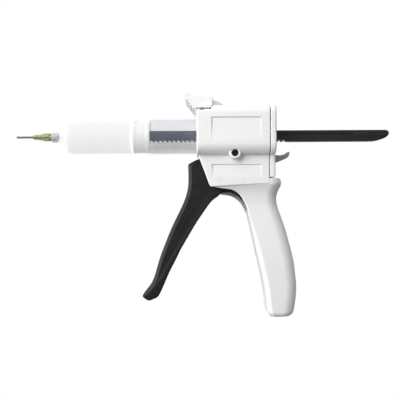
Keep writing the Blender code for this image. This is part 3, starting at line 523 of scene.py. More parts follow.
clearBarrel = finishOf["naturalPolypropylene"] = buildClearFinish("naturalPolypropylene",
        dict(colour=(0.47, 0.52, 0.66), marked=(0.50, 0.55, 0.68), worn=(0.6, 0.62, 0.7), roughness=0.26,
        grainScale=1500, grainDepth=0.000008, pits=0.2, gloss=0.1, cover=0.3, wear=0.1, haze=0.19,
        slantHaze=0.14, slantBlend=0.35, fixed={"IOR": 1.49, "Specular IOR Level": 0.4}))
# the bore's warm colours, lighter on top and darker below, are painted shade
addBoreHazeAndShade(clearBarrel, dict(axisZ=gunZero[2] * mm, bore=0.012, outside=0.0127, shadeTopZ=0.009,
        shadeBottomZ=-0.006, hazeAtTop=0.22, hazeWithShadeLow=0.6, bottomEaseShare=0.7, warmBoreTop=(0.76, 0.68, 0.62),
        warmBoreShaded=(0.50, 0.41, 0.355), wetX=(gunZero[0] - 33.4) * mm, wetShare=0.12,
        nozzle=(0.62, 0.63, 0.67), nozzleX=(gunZero[0] - 100.0) * mm, nozzleCloud=0.5))
finishOf["oliveHubPlastic"] = buildClearFinish("oliveHubPlastic",
        dict(colour=(0.22, 0.285, 0.05), marked=(0.26, 0.33, 0.075), worn=(0.45, 0.5, 0.2),
        roughness=0.16, grainScale=2600, grainDepth=0.000008, pits=0.3, gloss=0.1, cover=0.3, wear=0.4,
        haze=0.36, slantHaze=0.62, slantBlend=0.5, fixed={"IOR": 1.5, "Specular IOR Level": 0.6}))
print("finishes made:", len(finishOf))


toothPitch, squeezeDeg = 3.3, 28.0      # one full squeeze moves the pawl by one tooth
pivot = (26.6, -13.4)                   # the trigger's axis, (x, z)
squeezeArm = toothPitch / (2 * sin(radians(squeezeDeg / 2)))
pawlPin = (pivot[0] + toothPitch / 2, pivot[1] + squeezeArm * cos(radians(squeezeDeg / 2)))
latchPin = (20.5, 19.3)
coverScrews = [(-16.2, 13.6), (16.2, 13.6), (-9.6, -26.6), (9.6, -26.6)]   # (y, z)

barrel = dict(radius=12.7, bore=12.0, rear=4.7, shoulder=-95.2, shoulderRound=4.2, floor=-93.9,
        collar=3.95, collarFront=-104.6, flangeRadius=20.2, flangeHalf=13.5, flangeThick=2.0)

housing = dict(
    halfWidth=22.5, top=20, lowTop=17.7, crease=-14.3, topRound=6, rear=50.7, tuckStart=-6.5,
    slabHalf=15, frontRim=1.1, rearRim=0.7, slabRim=0.9, wall=2.8, bayHalf=12, channelHalf=9.7,
    coreHalf=7.4,
    handleChamfer=3, archChamfer=0.8, chamferSpan=(-80, -58), handleRound=8.5, handleSteps=110,
    handleBottom=-128.7,
    handleFront=[(11.5, -31), (9.8, -34.5), (12.6, -37), (23.6, -38.5), (29.4, -41.7), (33, -47),
                 (35.2, -52.2), (36.9, -59.3), (39.1, -69.2), (41.6, -81.2), (44, -91.8), (46.7, -104.4),
                 (48.1, -113.6), (49.2, -122.5), (50, -128.7)],
    handleRear=[(58.6, -30.7), (59.8, -32.6), (59.8, -35.6), (58.2, -39.2), (57.1, -42.6), (56.9, -46),
                (57.5, -50.1), (59.1, -55.1), (61.3, -61.4), (63.4, -67.8), (65.5, -76.2), (67.3, -83.3),
                (68.8, -90.3), (69.8, -98.8), (70.5, -106.6), (70.2, -114.3), (69.3, -121), (67.9, -128.7)],
    handleHalf=[(14.7, -31), (14.6, -34.6), (13.8, -36.4), (12.7, -38.8), (11.7, -42), (11, -46.5),
                (10.8, -51), (11.3, -60), (12.9, -85), (13.4, -108), (13.3, -122), (13.1, -128.7)])


def boxSection(shape):
    # half the outline, then its mirrored half: round shoulder, straight side, quarter ellipse below
    shoulder = arcPoints((shape["halfWidth"] - shape["topRound"], shape["top"] - shape["topRound"]),
            shape["topRound"], 90, 0, 14)
    a = np.linspace(0, pi / 2, 15)
    tuck = np.stack([shape["slabHalf"] + (shape["halfWidth"] - shape["slabHalf"]) * np.cos(a),
            shape["tuckStart"] + (shape["crease"] - shape["tuckStart"]) * np.sin(a)], 1)
    half = np.vstack([[(0.6, shape["top"])], shoulder, tuck, [(0.6, shape["crease"])]])
    return np.vstack([half, half[::-1] * (-1, 1)])


def edgeAt(edge, heights):
    # x of a smooth edge through (x, z) points at each height
    curve = curveThrough(edge, 12)[::-1]
    return np.interp(heights, curve[:, 1], curve[:, 0])


def handleRings(shape, heights, shrink):
    # level cuts through the handle: a chamfered front corner, a side, and a round back corner
    front = edgeAt(shape["handleFront"], heights) + shrink
    rear = edgeAt(shape["handleRear"], heights) - shrink
    half = edgeAt(shape["handleHalf"], heights) - shrink
    chamfer = np.interp(heights, shape["chamferSpan"], (shape["handleChamfer"], shape["archChamfer"]))
    chamfer = np.minimum(chamfer, (rear - front) / 6)
    back = np.minimum(np.minimum(shape["handleRound"], half - 2), (rear - front) / 2)
    s = np.linspace(0, 1, 5)[None, :]
    a = np.linspace(pi / 2, 0, 15)[None, :]
    blunt = np.minimum(0.7, 0.45 * chamfer)
    # the two blunt corners of the chamfer are short parabolas, as in roundedCorners
    start = [(front, half - chamfer - blunt), (front, half - chamfer),
            (front + blunt, half - chamfer + blunt)]
    stop = [(front + chamfer - blunt, half - blunt), (front + chamfer, half),
            (front + chamfer + blunt, half)]
    pieces = []
    for corner in (start, stop):
        (ax, ay), (bx, by), (cx, cy) = corner
        pieces.append(tuple(
            (1 - s) ** 2 * p[:, None] + 2 * s * (1 - s) * q[:, None] + s ** 2 * r[:, None]
            for p, q, r in ((ax, bx, cx), (ay, by, cy))))
    pieces.append(((rear - back)[:, None] + back[:, None] * np.cos(a),
            (half - back)[:, None] + back[:, None] * np.sin(a)))
    x = np.concatenate([p[0] for p in pieces], 1)
    y = np.concatenate([p[1] for p in pieces], 1)
    return np.concatenate([x, x[:, ::-1]], 1), np.concatenate([y, -y[:, ::-1]], 1)


def handleSkin(shape):
    # rings down the handle; the last 3.5 mm draw in along a quarter ellipse
    heights = np.linspace(-30.7, shape["handleBottom"] + 3.5, shape["handleSteps"])
    a = np.linspace(0, pi / 2, 9)[1:]
    heights = np.append(heights, shape["handleBottom"] + 3.5 * (1 - np.sin(a)))
    shrink = np.append(np.zeros(shape["handleSteps"]), 3.2 * (1 - np.cos(a)))
    x, y = handleRings(shape, heights, shrink)
    return skin(np.stack([x, y, np.broadcast_to(heights[:, None], x.shape)], -1))


def shifted(edge, shift, low, high):
    # an edge moved sideways between two heights, as an array from the top down
    heights = np.linspace(high, low, 16)
    return np.stack([edgeAt(edge, heights) + shift, heights], 1)


def housingHollows(shape):
    # the mechanism's bay, the neck's slot, the handle's core and the two side chambers
    bay = [(-8, -16.3), (12, -16.3), (12, -10.5), (7.5, -10.5), (7.5, 14), (60, 14), (60, -23.6),
            (47.6, -23.6), (47.6, -33), (14, -33), (14, -41), (-8, -41)]
    neck = [(-2, -30), (38.6, -30), (38.6, -54.3), (36, -54.3), (20, -53), (-2, -50)]
    core = np.vstack([[(25, -32), (47.6, -32)], shifted(shape["handleRear"], -shape["wall"], -121, -36),
            shifted(shape["handleFront"], shape["wall"], -121, -54)[::-1], [(25, -51.5)]])
    chambers = [block((8, low, -4.5), (60, high, 8.5)) for low, high in ((-19.8, -14.5), (14.5, 19.8))]
    return [across(bay, shape["bayHalf"]), across(neck, shape["channelHalf"]),
            across(core, shape["coreHalf"]), *chambers]


seat = dict(mouth=13, slot=20.5, slotLow=-13.8, slotFront=2.4, slotRear=5, rackRoom=5.5)


def barrelSeat(shape):
    # the U-shaped mouth, the flange's slot behind it, and the hole for the rack
    mouth, r, room = shape["mouth"], shape["slot"], shape["rackRoom"]
    mouth = np.vstack([arcPoints((0, 0), mouth, 180, 360, 48), [(mouth, 30), (-mouth, 30)]])
    sideDeg = degrees(asin(barrel["flangeHalf"] / barrel["flangeRadius"]))
    reach = r * cos(radians(sideDeg))
    slot = np.vstack([[(-reach, shape["slotLow"]), (reach, shape["slotLow"])],
            arcPoints((0, 0), r, -sideDeg, 0, 8)[1:], [(r, 30), (-r, 30)],
            arcPoints((0, 0), r, 180, 180 + sideDeg, 8)[:-1]])
    return [carried(mouth, "X", -5, 2.5), carried(slot, "X", shape["slotFront"], shape["slotRear"]),
            block((barrel["rear"], -room, -room), (9, room, room))]


def sidePanels(shape):
    # shallow recesses on both sides, deepest along the top and running out below
    cutters = []
    for side in (-1, 1):
        for half, depth, top, low, start, end in ((shape["halfWidth"], 0.9, 11.2, -4.5, 10.2, 44.6),
                (shape["slabHalf"], 0.8, -21, -30, 10.5, 45.4)):
            outline = [(side * (half - depth), top - 0.35), (side * (half - depth + 0.3), top),
                    (side * (half + 1.5), top + 0.5), (side * (half + 1.5), low),
                    (side * (half - 0.05), low)]
            cutters.append(carried(outline, "X", start, end, 0))
    return cutters


def housingShell(shape):
    # the box, the slab and the handle joined, then stepped, hollowed and bored
    body = carried(boxSection(shape), "X", 0, shape["rear"], shape["frontRim"], 5, rearRim=shape["rearRim"])
    slab = [(1.6, -11), (1, shape["crease"]), (9.4, -36.8), (shape["rear"], -34.4), (shape["rear"], -11)]
    slab = across(slab, shape["slabHalf"], (0.5, shape["slabRim"], shape["slabRim"], 0.5, 0.5),
            radii=(0.4, 1.2, 1.8, 0.4, 0.4))
    body = join(body, slab, handleSkin(shape))
    low, top = shape["lowTop"], shape["top"]
    step = across([(-5, low), (9.7, low), (12, top), (12, 40), (-5, 40)], 30)
    # the step falls away towards both sides, so the latch's lower edge stands clear of it
    fall = np.array([(15.8, low), (24, low - 2.4), (24, 40), (15.8, 40)])
    falls = [carried(fall * (side, 1), "X", -5, 10.2) for side in (-1, 1)]
    body = cut(body, step, *falls)
    hump = [(17.6, 15), (18.8, 22.4), (19.8, 22.6), (25.2, 19.7), (25.2, 15)]
    hump = across(hump, 12, 0.4, 3, radii=(0.2, 0.5, 0.5, 0.8, 0.2))
    # the boss round the pivot screw stands proud of the slab, with a rounded rim
    boss = np.vstack([[(13, 0)], [(13, 4.1)], arcPoints((19.3, 3.2), 0.9, 90, 0, 6), [(20.2, 0)]])
    bosses = [turned(boss * (side, 1), pivot, "Y", 64) for side in (-1, 1)]
    body = join(body, hump, *bosses)
    # the far half reaches a little further under the arch than the near one, behind the trigger's web
    lip = [(13, -34), (13, -39.6), (16.6, -42), (22, -42.4), (26.8, -43.8), (31.6, -47.6), (34.2, -51.6),
            (36.2, -57), (38.5, -57), (38.5, -34)]
    lip = carried(lip, "Y", 9.5, 11.8, 0.3, 3, radii=(0.2, 1, 20, 20, 20, 20, 20, 3, 0.2, 0.2))
    posts = [carried(ringPoints((y, z), 2.6, 24), "X", 44.5, shape["rear"]) for y, z in coverScrews[2:]]
    links = [block((44.6, min(y, y * 1.28), z - 1.5), (shape["rear"] - 0.1, max(y, y * 1.28), z + 1.5))
            for y, z in coverScrews[2:]]
    body = join(cut(body, *housingHollows(shape)), lip, *posts, *links)
    notch = across([(14.5, 19.8), (16.9, 16), (23.9, 16), (23.9, 30), (14.5, 30)], 7.3)
    headRoom = [(-22, 0), (-22, 2.75), (-20.1, 2.75), (-19.9, 2.5), (-15, 2.5), (-15, 0)]
    nutRoom = carried(ringPoints(pivot, 3.5, 6), "Y", 14.8, 22)
    holes = [rod(20, 1.8, pivot, 40), turned(headRoom, pivot, "Y", 48), nutRoom, rod(11.5, 1.3, latchPin, 32)]
    holes += [carried(ringPoints((y, z), 1.5, 20), "X", 40, 60) for y, z in coverScrews]
    return cut(body, notch, *barrelSeat(seat), *sidePanels(shape), *holes)


finish("housingShell", housingShell(housing), "satinWhiteNylon", "root", "housing")
print("housing made")


cover = dict(front=51.15, rear=55.1, bottom=-30.3, edge=0.6, rearRound=1.25, lowerHalf=15,
        rackHalf=(4.5, 4.55), leverSlot=(4.8, -22.6, -10.8))


def rearCover(shape):
    # the box's section carried back, joined with the narrower plate below it, with rounded rims
    upper = carried(boxSection(housing), "X", shape["front"], shape["rear"], shape["edge"], 5,
            rearRim=shape["rearRound"])
    half, low = shape["lowerHalf"], shape["bottom"]
    plate = [(-half, -10), (-half, low), (half, low), (half, -10)]
    lower = carried(plate, "X", shape["front"], shape["rear"], shape["edge"], 5,
            radii=(0.5, 1.2, 1.2, 0.5), rearRim=shape["rearRound"])
    slotHalf, slotLow, slotHigh = shape["leverSlot"]
    wide, tall = shape["rackHalf"]
    cutters = [block((50, -wide, -tall), (56, wide, tall)),
            block((50, -slotHalf, slotLow), (56, slotHalf, slotHigh))]
    for y, z in coverScrews:
        cutters.append(carried(ringPoints((y, z), 1.5, 24), "X", 50, 56))
        cutters.append(carried(ringPoints((y, z), 2.6, 32), "X", shape["rear"] - 1.9, 56))
    return cut(join(upper, lower), *cutters)


finish("rearCoverPlate", rearCover(cover), "smoothWhiteNylon", "root", "rear_cover")

coverScrew = dict(shank=1.2, head=2.3, headHeight=1.4, crossDepth=0.75, crossHalf=0.26)


def panHeadScrew(shape, y, z):
    # shank, flat underside and a domed head, with a cross recess
    rear = cover["rear"] - 0.2
    under = rear - shape["headHeight"]
    dome = curveThrough([(under + 0.5, shape["head"]), (rear - 0.3, shape["head"] * 0.78), (rear, 0)], 6)
    thread = np.arange(42.5, under - 0.6, 0.5)
    ridges = np.stack([thread, shape["shank"] - 0.14 * (np.arange(len(thread)) % 2)], 1)
    profile = np.vstack([[(41.5, 0), (41.5, 0.6)], ridges, [(under, shape["shank"]),
            (under, shape["head"])], dome])
    screw = turned(profile, (y, z), "X", 40)
    floor, half = rear - shape["crossDepth"], shape["crossHalf"]
    return cut(screw, block((floor, y - 1.35, z - half), (56, y + 1.35, z + half)),
            block((floor, y - half, z - 1.35), (56, y + half, z + 1.35)))


for index, (y, z) in enumerate(coverScrews):
    finish("coverScrew%d" % (index + 1), panHeadScrew(coverScrew, y, z), "brightSteel", "root",
            "cover_screw_%d" % (index + 1))
print("rear cover made")


def syringeBarrel(shape):
    # a closed profile, out over the shoulder and the luer collar and back down the bore, turned
    r, bore, rear, floor = shape["radius"], shape["bore"], shape["rear"], shape["floor"]
    start, bend = shape["shoulder"], shape["shoulderRound"]
    collar, front = shape["collar"], shape["collarFront"]
    outside = np.vstack([[(rear, r), (rear - 0.6, r), (start + bend + 0.4, r)],
            arcPoints((start + bend, r - bend), bend, 90, 180, 14), [(start, collar + 1.4)],
            arcPoints((start - 0.9, collar + 0.9), 0.9, 0, -90, 4)])
    collar = np.array([(-99, collar), (front + 0.4, collar), (front, collar - 0.3), (front, 3.15),
            (front + 0.3, 3.05), (-98.2, 3.05), (-98.2, 2.1), (-105.7, 1.96), (-106, 1.8), (-106, 1.05),
            (-95.4, 1)])
    inside = np.vstack([[(floor, 2.4)], arcPoints((floor + 3.4, bore - 3.4), 3.4, 180, 90, 10),
            [(floor + 3.8, bore), (rear - 0.5, bore), (rear, bore + 0.3)]])
    body = turned(np.vstack([outside, collar, inside]), segments=144)
    sideDeg = degrees(asin(shape["flangeHalf"] / shape["flangeRadius"]))
    ear = np.vstack([arcPoints((0, 0), shape["flangeRadius"], -sideDeg, sideDeg, 20),
            arcPoints((0, 0), shape["flangeRadius"], 180 - sideDeg, 180 + sideDeg, 20)])
    flange = carried(ear, "X", rear - shape["flangeThick"], rear - 0.05, 0.35, 3)
    hole = carried(ringPoints((0, 0), (r + bore) / 2, 96), "X", 0, 8)
    return join(body, cut(flange, hole))


finish("syringeBarrel", syringeBarrel(barrel), "naturalPolypropylene", "root", "barrel",
        sharp=40)

paste = dict(radius=11.93, front=-93.6, nose=-49.6, ripple=0.03)


def pasteCharge(shape):
    # the bore's own form less a hair, closed behind by the hollow that the piston's nose leaves
    r, front = shape["radius"], shape["front"]
    along = np.linspace(front + 4.2, -46.2, 90)
    wave = 0.5 + 0.5 * np.sin(along * 1.9) * np.sin(along * 0.53)
    skinLine = np.stack([along, r - shape["ripple"] * wave], 1)
    profile = np.vstack([[(front, 0), (front, 8.2)], arcPoints((front + 3.4, r - 3.4), 3.4, 175, 95, 8),
            skinLine, [(-45.6, r - 0.2), (-46.9, 9.9), (shape["nose"], 5.2), (shape["nose"], 0)]])
    return turned(profile, segments=96)


pasteBody = finish("pasteCharge", pasteCharge(paste), "whitePastePaintedGlow", None, "paste_charge")
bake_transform(pasteBody)

hub = dict(rear=-101.5, front=-118.4, wing=0.42, wingReach=2.85, tube=0.72, tubeFront=-130.2)


def needleHub(shape):
    # a skirt, a grip with four wings, a step and a long taper to the tube
    outside = np.array([(shape["rear"], 2.75), (-104.6, 2.78), (-104.95, 2.75), (-105.2, 2.62),
            (-105.6, 2.66), (-108.6, 2.62), (-110.2, 2.45), (-112.2, 2.2), (-114.4, 1.92), (-115.4, 1.82),
            (-117.7, 1.46), (-118.2, 1.36), (shape["front"], 1.1)])
    inside = np.array([(shape["front"], 0.95), (-107.2, 0.95), (-106.8, 2.15), (shape["rear"], 2.28)])
    body = turned(np.vstack([outside, inside]), segments=64)
    wing = np.array([(-111.4, 1.9), (-105.2, 1.9), (-105.2, shape["wingReach"]),
            (-109.6, shape["wingReach"]), (-111.4, shape["wingReach"] - 0.5)])
    wings = []
    for side in (-1, 1):
        wings.append(across(wing * (1, side), shape["wing"], 0.12, 2, radii=0.3))
        flat = roundedCorners(wing * (1, side), 0.3)
        level = np.linspace(-shape["wing"], shape["wing"], 3)
        wings.append(skin([np.stack([flat[:, 0], flat[:, 1], np.full(len(flat), z)], 1) for z in level]))
    return join(body, *wings)


def needleTube(shape):
    # a thin tube with a rounded mouth, open along its middle
    r, front = shape["tube"], shape["tubeFront"]
    mouth = arcPoints((front + 0.15, r - 0.15), 0.15, 180, 90, 4)
    profile = np.vstack([[(front, 0.5)], mouth, [(-107.6, r), (-107.6, 0.5)]])
    return turned(profile, segments=32)


finish("needleHub", needleHub(hub), "oliveHubPlastic", "root", "needle_hub")
finish("needleTube", needleTube(hub), "needleSteel", "root", "needle_tube")
print("barrel and needle made")


rack = dict(front=-42.6, rear=138.4, half=4, low=4.05, high=3.85, pitch=toothPitch, depth=1.45, root=0.95,
        land=0.4, firstGap=15.5, lastTooth=64, relief=0.35)


def rackOutline(shape):
    # saw teeth below, then a plain shank and an upturned tail
    low, root = -shape["low"], -shape["low"] + shape["depth"]
    first = int((shape["front"] + 3.0 - shape["firstGap"]) / shape["pitch"])
    last = int((shape["lastTooth"] - shape["firstGap"]) / shape["pitch"])
    x = shape["firstGap"] + shape["pitch"] * np.arange(first, last + 1)
    corners = np.array([(0, low), (0.1, root), (shape["root"], root),
            (shape["pitch"] - shape["land"], low)])
    tooth = (np.stack([x, np.zeros_like(x)], 1)[:, None] + corners[None]).reshape(-1, 2)
    tail = curveThrough([(118, low), (124, low), (129, -3.75), (134, -2.4), (137.2, -0.3),
            (shape["rear"] - 0.4, 1.7), (137.5, 2.9), (136.3, 3.6), (134.6, shape["high"])], 5)
    return np.vstack([[(shape["front"], low)], tooth, tail, [(shape["front"], shape["high"])]])


def rackBar(shape):
    # the toothed outline carried across, less the screw's hole in front and, in both sides, a groove,
    # finger grips and notches
    outline = rackOutline(shape)
    rims = np.where(outline[:, 1] > 0, 0.7, np.where(outline[:, 0] > 70, 0.55, 0.12))
    bar = across(outline, shape["half"], rims, 4)
    cutters = [carried(ringPoints((0, 0), 1.4, 20), "X", shape["front"] - 1, shape["front"] + 9)]
    for side in (-1, 1):
        groove = [(shape["front"] - 1, 0.2), (112, 0.2), (112, 1.6), (shape["front"] - 1, 1.6)]
        low, high = sorted((side * 3.4, side * 5))
        cutters.append(carried(groove, "Y", low, high, radii=(0.1, 0.6, 0.6, 0.1)))
        # three scalloped finger grips in the tail's sides
        for k in range(3):
            x = np.linspace(0, 1, 15)
            wave = np.stack([115.6 + 7.4 * k + 6.6 * x, -0.7 - 1.9 * np.sin(pi * x) ** 0.8], 1)
            scallop = np.vstack([wave, [(115.6 + 7.4 * k + 6.6, -0.5), (115.6 + 7.4 * k, -0.5)]])
            low, high = sorted((side * (shape["half"] - 0.55), side * 5))
            cutters.append(carried(scallop, "Y", low, high))
    # a slanting notch in both sides above every tooth
    count = int((shape["lastTooth"] - shape["front"] - 6) / shape["pitch"])
    ahead = int((shape["firstGap"] - shape["front"]) / shape["pitch"] - 1)
    x = shape["firstGap"] + shape["pitch"] * (np.arange(count) - ahead)
    notch = np.array([(0, -2.1), (0.75, -2.1), (2.3, -0.3), (1.55, -0.3)])
    for side in (-1, 1):
        depths = np.sort([side * (shape["half"] - shape["relief"]), side * (shape["half"] + 0.6)])
        corners = np.stack([np.stack([x[:, None] + notch[None, :, 0], np.full((len(x), 4), d),
                np.broadcast_to(notch[None, :, 1], (len(x), 4))], -1) for d in depths], 1)
        cell = np.array([(0, 1, 2, 3), (7, 6, 5, 4), (0, 4, 5, 1), (1, 5, 6, 2), (2, 6, 7, 3),
                (3, 7, 4, 0)])
        faces = (cell[None] + 8 * np.arange(len(x))[:, None, None]).reshape(-1, 4).tolist()
        cutters.append(objectFrom(corners, faces))
    return cut(bar, *cutters)


finish("toothedRack", rackBar(rack), "blackAcetal", "rack", "rack")

piston = dict(lip=11.9, nose=-49.3, rear=-33.4)


def wiperPiston(shape):
    # a blunt nose, two sealing lips with a waist between them, and a hollow back
    lip, nose, rear = shape["lip"], shape["nose"], shape["rear"]
    outside = curveThrough([(nose, 0), (nose, 4.6), (nose + 1, 6.9), (-46.9, 9.7), (-45.3, lip),
            (-44, lip), (-43.4, 11.65), (-41, 11.6), (-36.6, 11.65), (-36, lip), (-34, lip),
            (rear, 11.6)], 4)
    inside = np.array([(rear, 10.2), (-34, 10), (-44.6, 9.2), (-45.6, 8.6), (-46.5, 7.4), (-46.7, 6.6),
            (-46.7, 0)])
    outside[:, 1] = np.clip(outside[:, 1], 0, lip)
    return turned(np.vstack([outside, inside]), segments=96)


finish("wiperPiston", wiperPiston(piston), "waxyPistonPaintedGlow", "rack", "piston", sharp=50)
print("rack and piston made")


trigger = dict(
    half=9.2, frontRim=2.7, rearRim=0.7, hornHalf=6, earInside=5.2,
    front=[(-6.4, -20.4), (-6.1, -28.1), (-6.2, -35.2), (-7.2, -40.9), (-9.7, -48), (-13.2, -55.2),
           (-16.8, -62.3), (-20, -69.4), (-22.8, -76.5), (-25.7, -83.7), (-28.2, -91.5), (-30.3, -99.4),
           (-33.2, -105.8), (-36.4, -110)],
    toe=[(-39.9, -114.3), (-34.8, -117.8), (-28, -114.9)], toeRim=1.6, toeRound=2,
    rear=[(-25.4, -109.9), (-22.3, -102.6), (-19.5, -96.2), (-16, -89.8), (-12, -81.3),
          (-6.9, -72.8), (-1.1, -62.9), (4.7, -54.4), (9.2, -48), (12.7, -44.8), (16.6, -42.4)])


def triggerBlade(shape):
    # the outline from the side carried across; the front edge has a broad flat chamfer
    crown = arcPoints(pawlPin, 2.7, -20, 150, 6)
    head = np.vstack([[(28.6, -22.5), (31.4, -17), (31.6, -12.5)], crown,
            [(22.4, -9.6), (18.6, -13.9), (12, -16.6), (1.4, -16.7), (-2.4, -18.4)]])
    parts = (shape["front"], shape["toe"], shape["rear"], head)
    counts = [len(part) for part in parts]
    rims = np.repeat([shape["frontRim"], shape["toeRim"], shape["rearRim"], 0.3], counts)
    radii = np.repeat([30, shape["toeRound"], 30, 0.8], counts)
    radii[0] = 1.4
    return across(np.vstack(parts), shape["half"], rims, 7, 0.7, radii)


def triggerHorn(shape):
    # the narrow web behind the head, which fills the arch of the neck
    lower = [(12, -44.6), (16.6, -41), (23.6, -40.2), (28.4, -42.3), (32.2, -45.8), (34.8, -49.4),
            (36.4, -53)]
    upper = [(37.2, -52.6), (35.4, -44), (33.4, -34), (31.8, -22), (28.6, -20), (12, -30)]
    radii = [0.5, 20, 20, 20, 20, 20, 0.6, 0.6, 5, 5, 1, 1, 1]
    return across(lower + upper, shape["hornHalf"], 0.4, 3, radii=radii)


def triggerWhole(shape):
    # blade and web joined, less the room for the pawl and its tail, the bore and the pin's hole
    pawlRoom = across([(10, -11.2), (22.6, -12.4), (23.4, -9.3), (29.8, -9.3), (34, -14.5), (34, 2),
            (10, 2)], shape["earInside"])
    tailRoom = across([(27.6, -8.9), (35.2, -20.6), (40, -20.6), (40, -5), (27.6, -5)], 1.8)
    bore = rod(15, 3.1, pivot, 48)
    pinHole = rod(15, 1.3, pawlPin, 32)
    return cut(join(triggerBlade(shape), triggerHorn(shape)), pawlRoom, tailRoom, bore, pinHole)


finish("triggerBlade", triggerWhole(trigger), "blackGlassNylon", "trigger", "trigger")
print("trigger made")


pivotScrew = dict(head=2.35, shank=1.5, headStart=-16.9, under=-15.3, socket=1.45, socketFloor=-15.9)


def hexSocketScrew(shape):
    # a cheese head with a rounded rim and a hexagonal socket, on a plain shank
    top, head = shape["headStart"], shape["head"]
    rim = arcPoints((top + 0.4, head - 0.4), 0.4, 180, 90, 5)
    profile = np.vstack([[(top, 0)], rim, [(shape["under"], head), (shape["under"], shape["shank"]),
            (16.7, shape["shank"]), (16.9, shape["shank"] - 0.2), (16.9, 0)]])
    socket = carried(ringPoints(pivot, shape["socket"], 6), "Y", -18, shape["socketFloor"])
    return cut(turned(profile, pivot, "Y", 56), socket)


def hexNut():
    # a hexagon with both faces' corners turned off by a cone, bored through
    blank = carried(ringPoints(pivot, 3.15, 6), "Y", 15.1, 17.2)
    cone = [(15, 0), (15, 2.75), (15.35, 3.2), (16.95, 3.2), (17.3, 2.75), (17.3, 0)]
    blank = combine(blank, "INTERSECT", [turned(cone, pivot, "Y", 48)])
    return cut(blank, turned([(10, 0), (10, 1.7), (20, 1.7), (20, 0)], pivot, "Y", 40))


finish("pivotScrew", hexSocketScrew(pivotScrew), "blackOxide", "root", "pivot_screw")
finish("pivotNut", hexNut(), "brightSteel", "root", "pivot_nut")

lever = dict(half=4, rim=0.7, outline=[
    (36, -7.1), (46, -11.6), (56.5, -13.9), (60.1, -14.2), (63.2, -13.3), (65.7, -11.4), (66.6, -11.8),
    (66.6, -12.9), (65.5, -15.8), (60.1, -18.1), (56.5, -19.3), (46, -18.3), (38.2, -14.1)])


def releaseLever(shape):
    # the outline from the side, smoothed at its corners, carried across with rounded rims
    radii = [0.9, 3, 2, 1.5, 1.5, 0.9, 0.9, 1, 2, 1.5, 3, 2, 1]
    body = across(shape["outline"], shape["half"], shape["rim"], 4, radii=radii)
    slot = across([(30, -5), (30, -16), (45.4, -16), (45.4, -5)], 1.7)
    return cut(body, slot)


finish("releaseLever", releaseLever(lever), "greyLeverPlastic", "pawl", "release_lever")

latch = dict(half=16, armHalf=7, ribs=4, rim=0.55)


def barrelLatch(shape):
    # a block with a ribbed thumb tab in front, an arm behind it and a knuckle on the pin
    outline = [(-0.4, 15.7), (-8.1, 25.1), (-9, 27), (-8.6, 29.2), (-6.6, 29.8), (-2.1, 27), (0.5, 26.6),
            (11.2, 26.4), (11.2, 20.5), (9.1, 18.5), (-0.4, 18.5)]
    radii = (0.4, 0.9, 1.2, 1.6, 1.8, 2.5, 2, 0.8, 0.6, 0.6, 0.4)
    body = across(outline, shape["half"], shape["rim"], 4, radii=radii)
    arm = np.vstack([[(9, 20.4), (9, 24.3), (12, 24.1), (18.6, 22.6)],
            arcPoints(latchPin, 2.7, 100, -120, 18), [(15.6, 20.4)]])
    arm = across(arm, shape["armHalf"], 0.3, 3, radii=0.35)
    shoulder = across([(9, 20.5), (9, 24), (12, 23.9), (17.4, 22.6), (17.4, 20.5)], 14.4, 0.25, 3,
            radii=0.3)
    # the shoulder narrows to the rear on both sides
    shoulder = cut(shoulder, *[carried([(11.6, side * 14.5), (11.6, side * 20), (20, side * 20),
            (20, side * 8.9)], "Z", 18, 26) for side in (-1, 1)])
    tongue = block((3.9, -11, 13.9), (4.7, 11, 19.4))
    grooves = []
    for k in range(shape["ribs"]):
        along = 0.16 + 0.2 * k
        x, z = -8.1 + 7.7 * along, 25.1 - 9.4 * along
        gap = [(x - 1.4, z - 1.1), (x - 0.7, z - 1.6), (x + 1.25, z + 0.1), (x + 0.6, z + 0.7)]
        grooves.append(across(gap, 17, radii=0.35))
    hole = rod(10, 1.3, latchPin, 32)
    return cut(join(body, arm, shoulder, tongue), hole, *grooves)


finish("barrelLatch", barrelLatch(latch), "smoothWhiteNylon", "latch", "latch")
print("lever and latch made")


# the return coil and the pawl's leaf spring
coil = dict(front=33.2, rear=47.2, height=-27, radius=2.6, wire=0.4, turns=6.5, closed=0.75, squeezed=0.17)


def returnCoil(shape):
    # a helix whose advance is even but for a closed turn at each end
    turn = np.linspace(0, shape["turns"], int(shape["turns"] * 40) + 1)
    advance = np.clip(turn - shape["closed"], 0, shape["turns"] - 2 * shape["closed"])
    share = advance / advance.max()
    span = shape["rear"] - shape["front"] - 4.2 * shape["wire"]
    along = shape["front"] + shape["wire"] + span * share + 2.2 * shape["wire"] * turn / shape["turns"]
    out = np.stack([np.zeros_like(turn), np.sin(2 * pi * turn), np.cos(2 * pi * turn)], 1)
    middle = np.stack([along, np.zeros_like(turn), np.full_like(turn, shape["height"])], 1)
    path = shape["radius"] * out + middle
    return tubeAlong(path, out, shape["wire"], 10)


coilPiece = finish("returnSpring", returnCoil(coil), "springWire", "root",
        "trigger_spring", sharp=60)
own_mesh(coilPiece)

leaf = dict(half=1.4, thick=0.35, path=[(33.4, -6.2), (36.5, -5.6), (40.0, -4.9), (42.5, -5.1),
        (43.6, -5.6)], pressed=0.3)


def pawlLeaf(shape):
    # a bowed strip: its middle line less its thickness, carried across
    line = curveThrough(shape["path"], 7)
    band = np.vstack([line, line[::-1] - (0, shape["thick"])])
    return across(band, shape["half"], 0.06, 2)


leafPiece = finish("pawlLeaf", pawlLeaf(leaf), "springWire", "pawl", "pawl_spring")
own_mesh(leafPiece)
print("springs made")


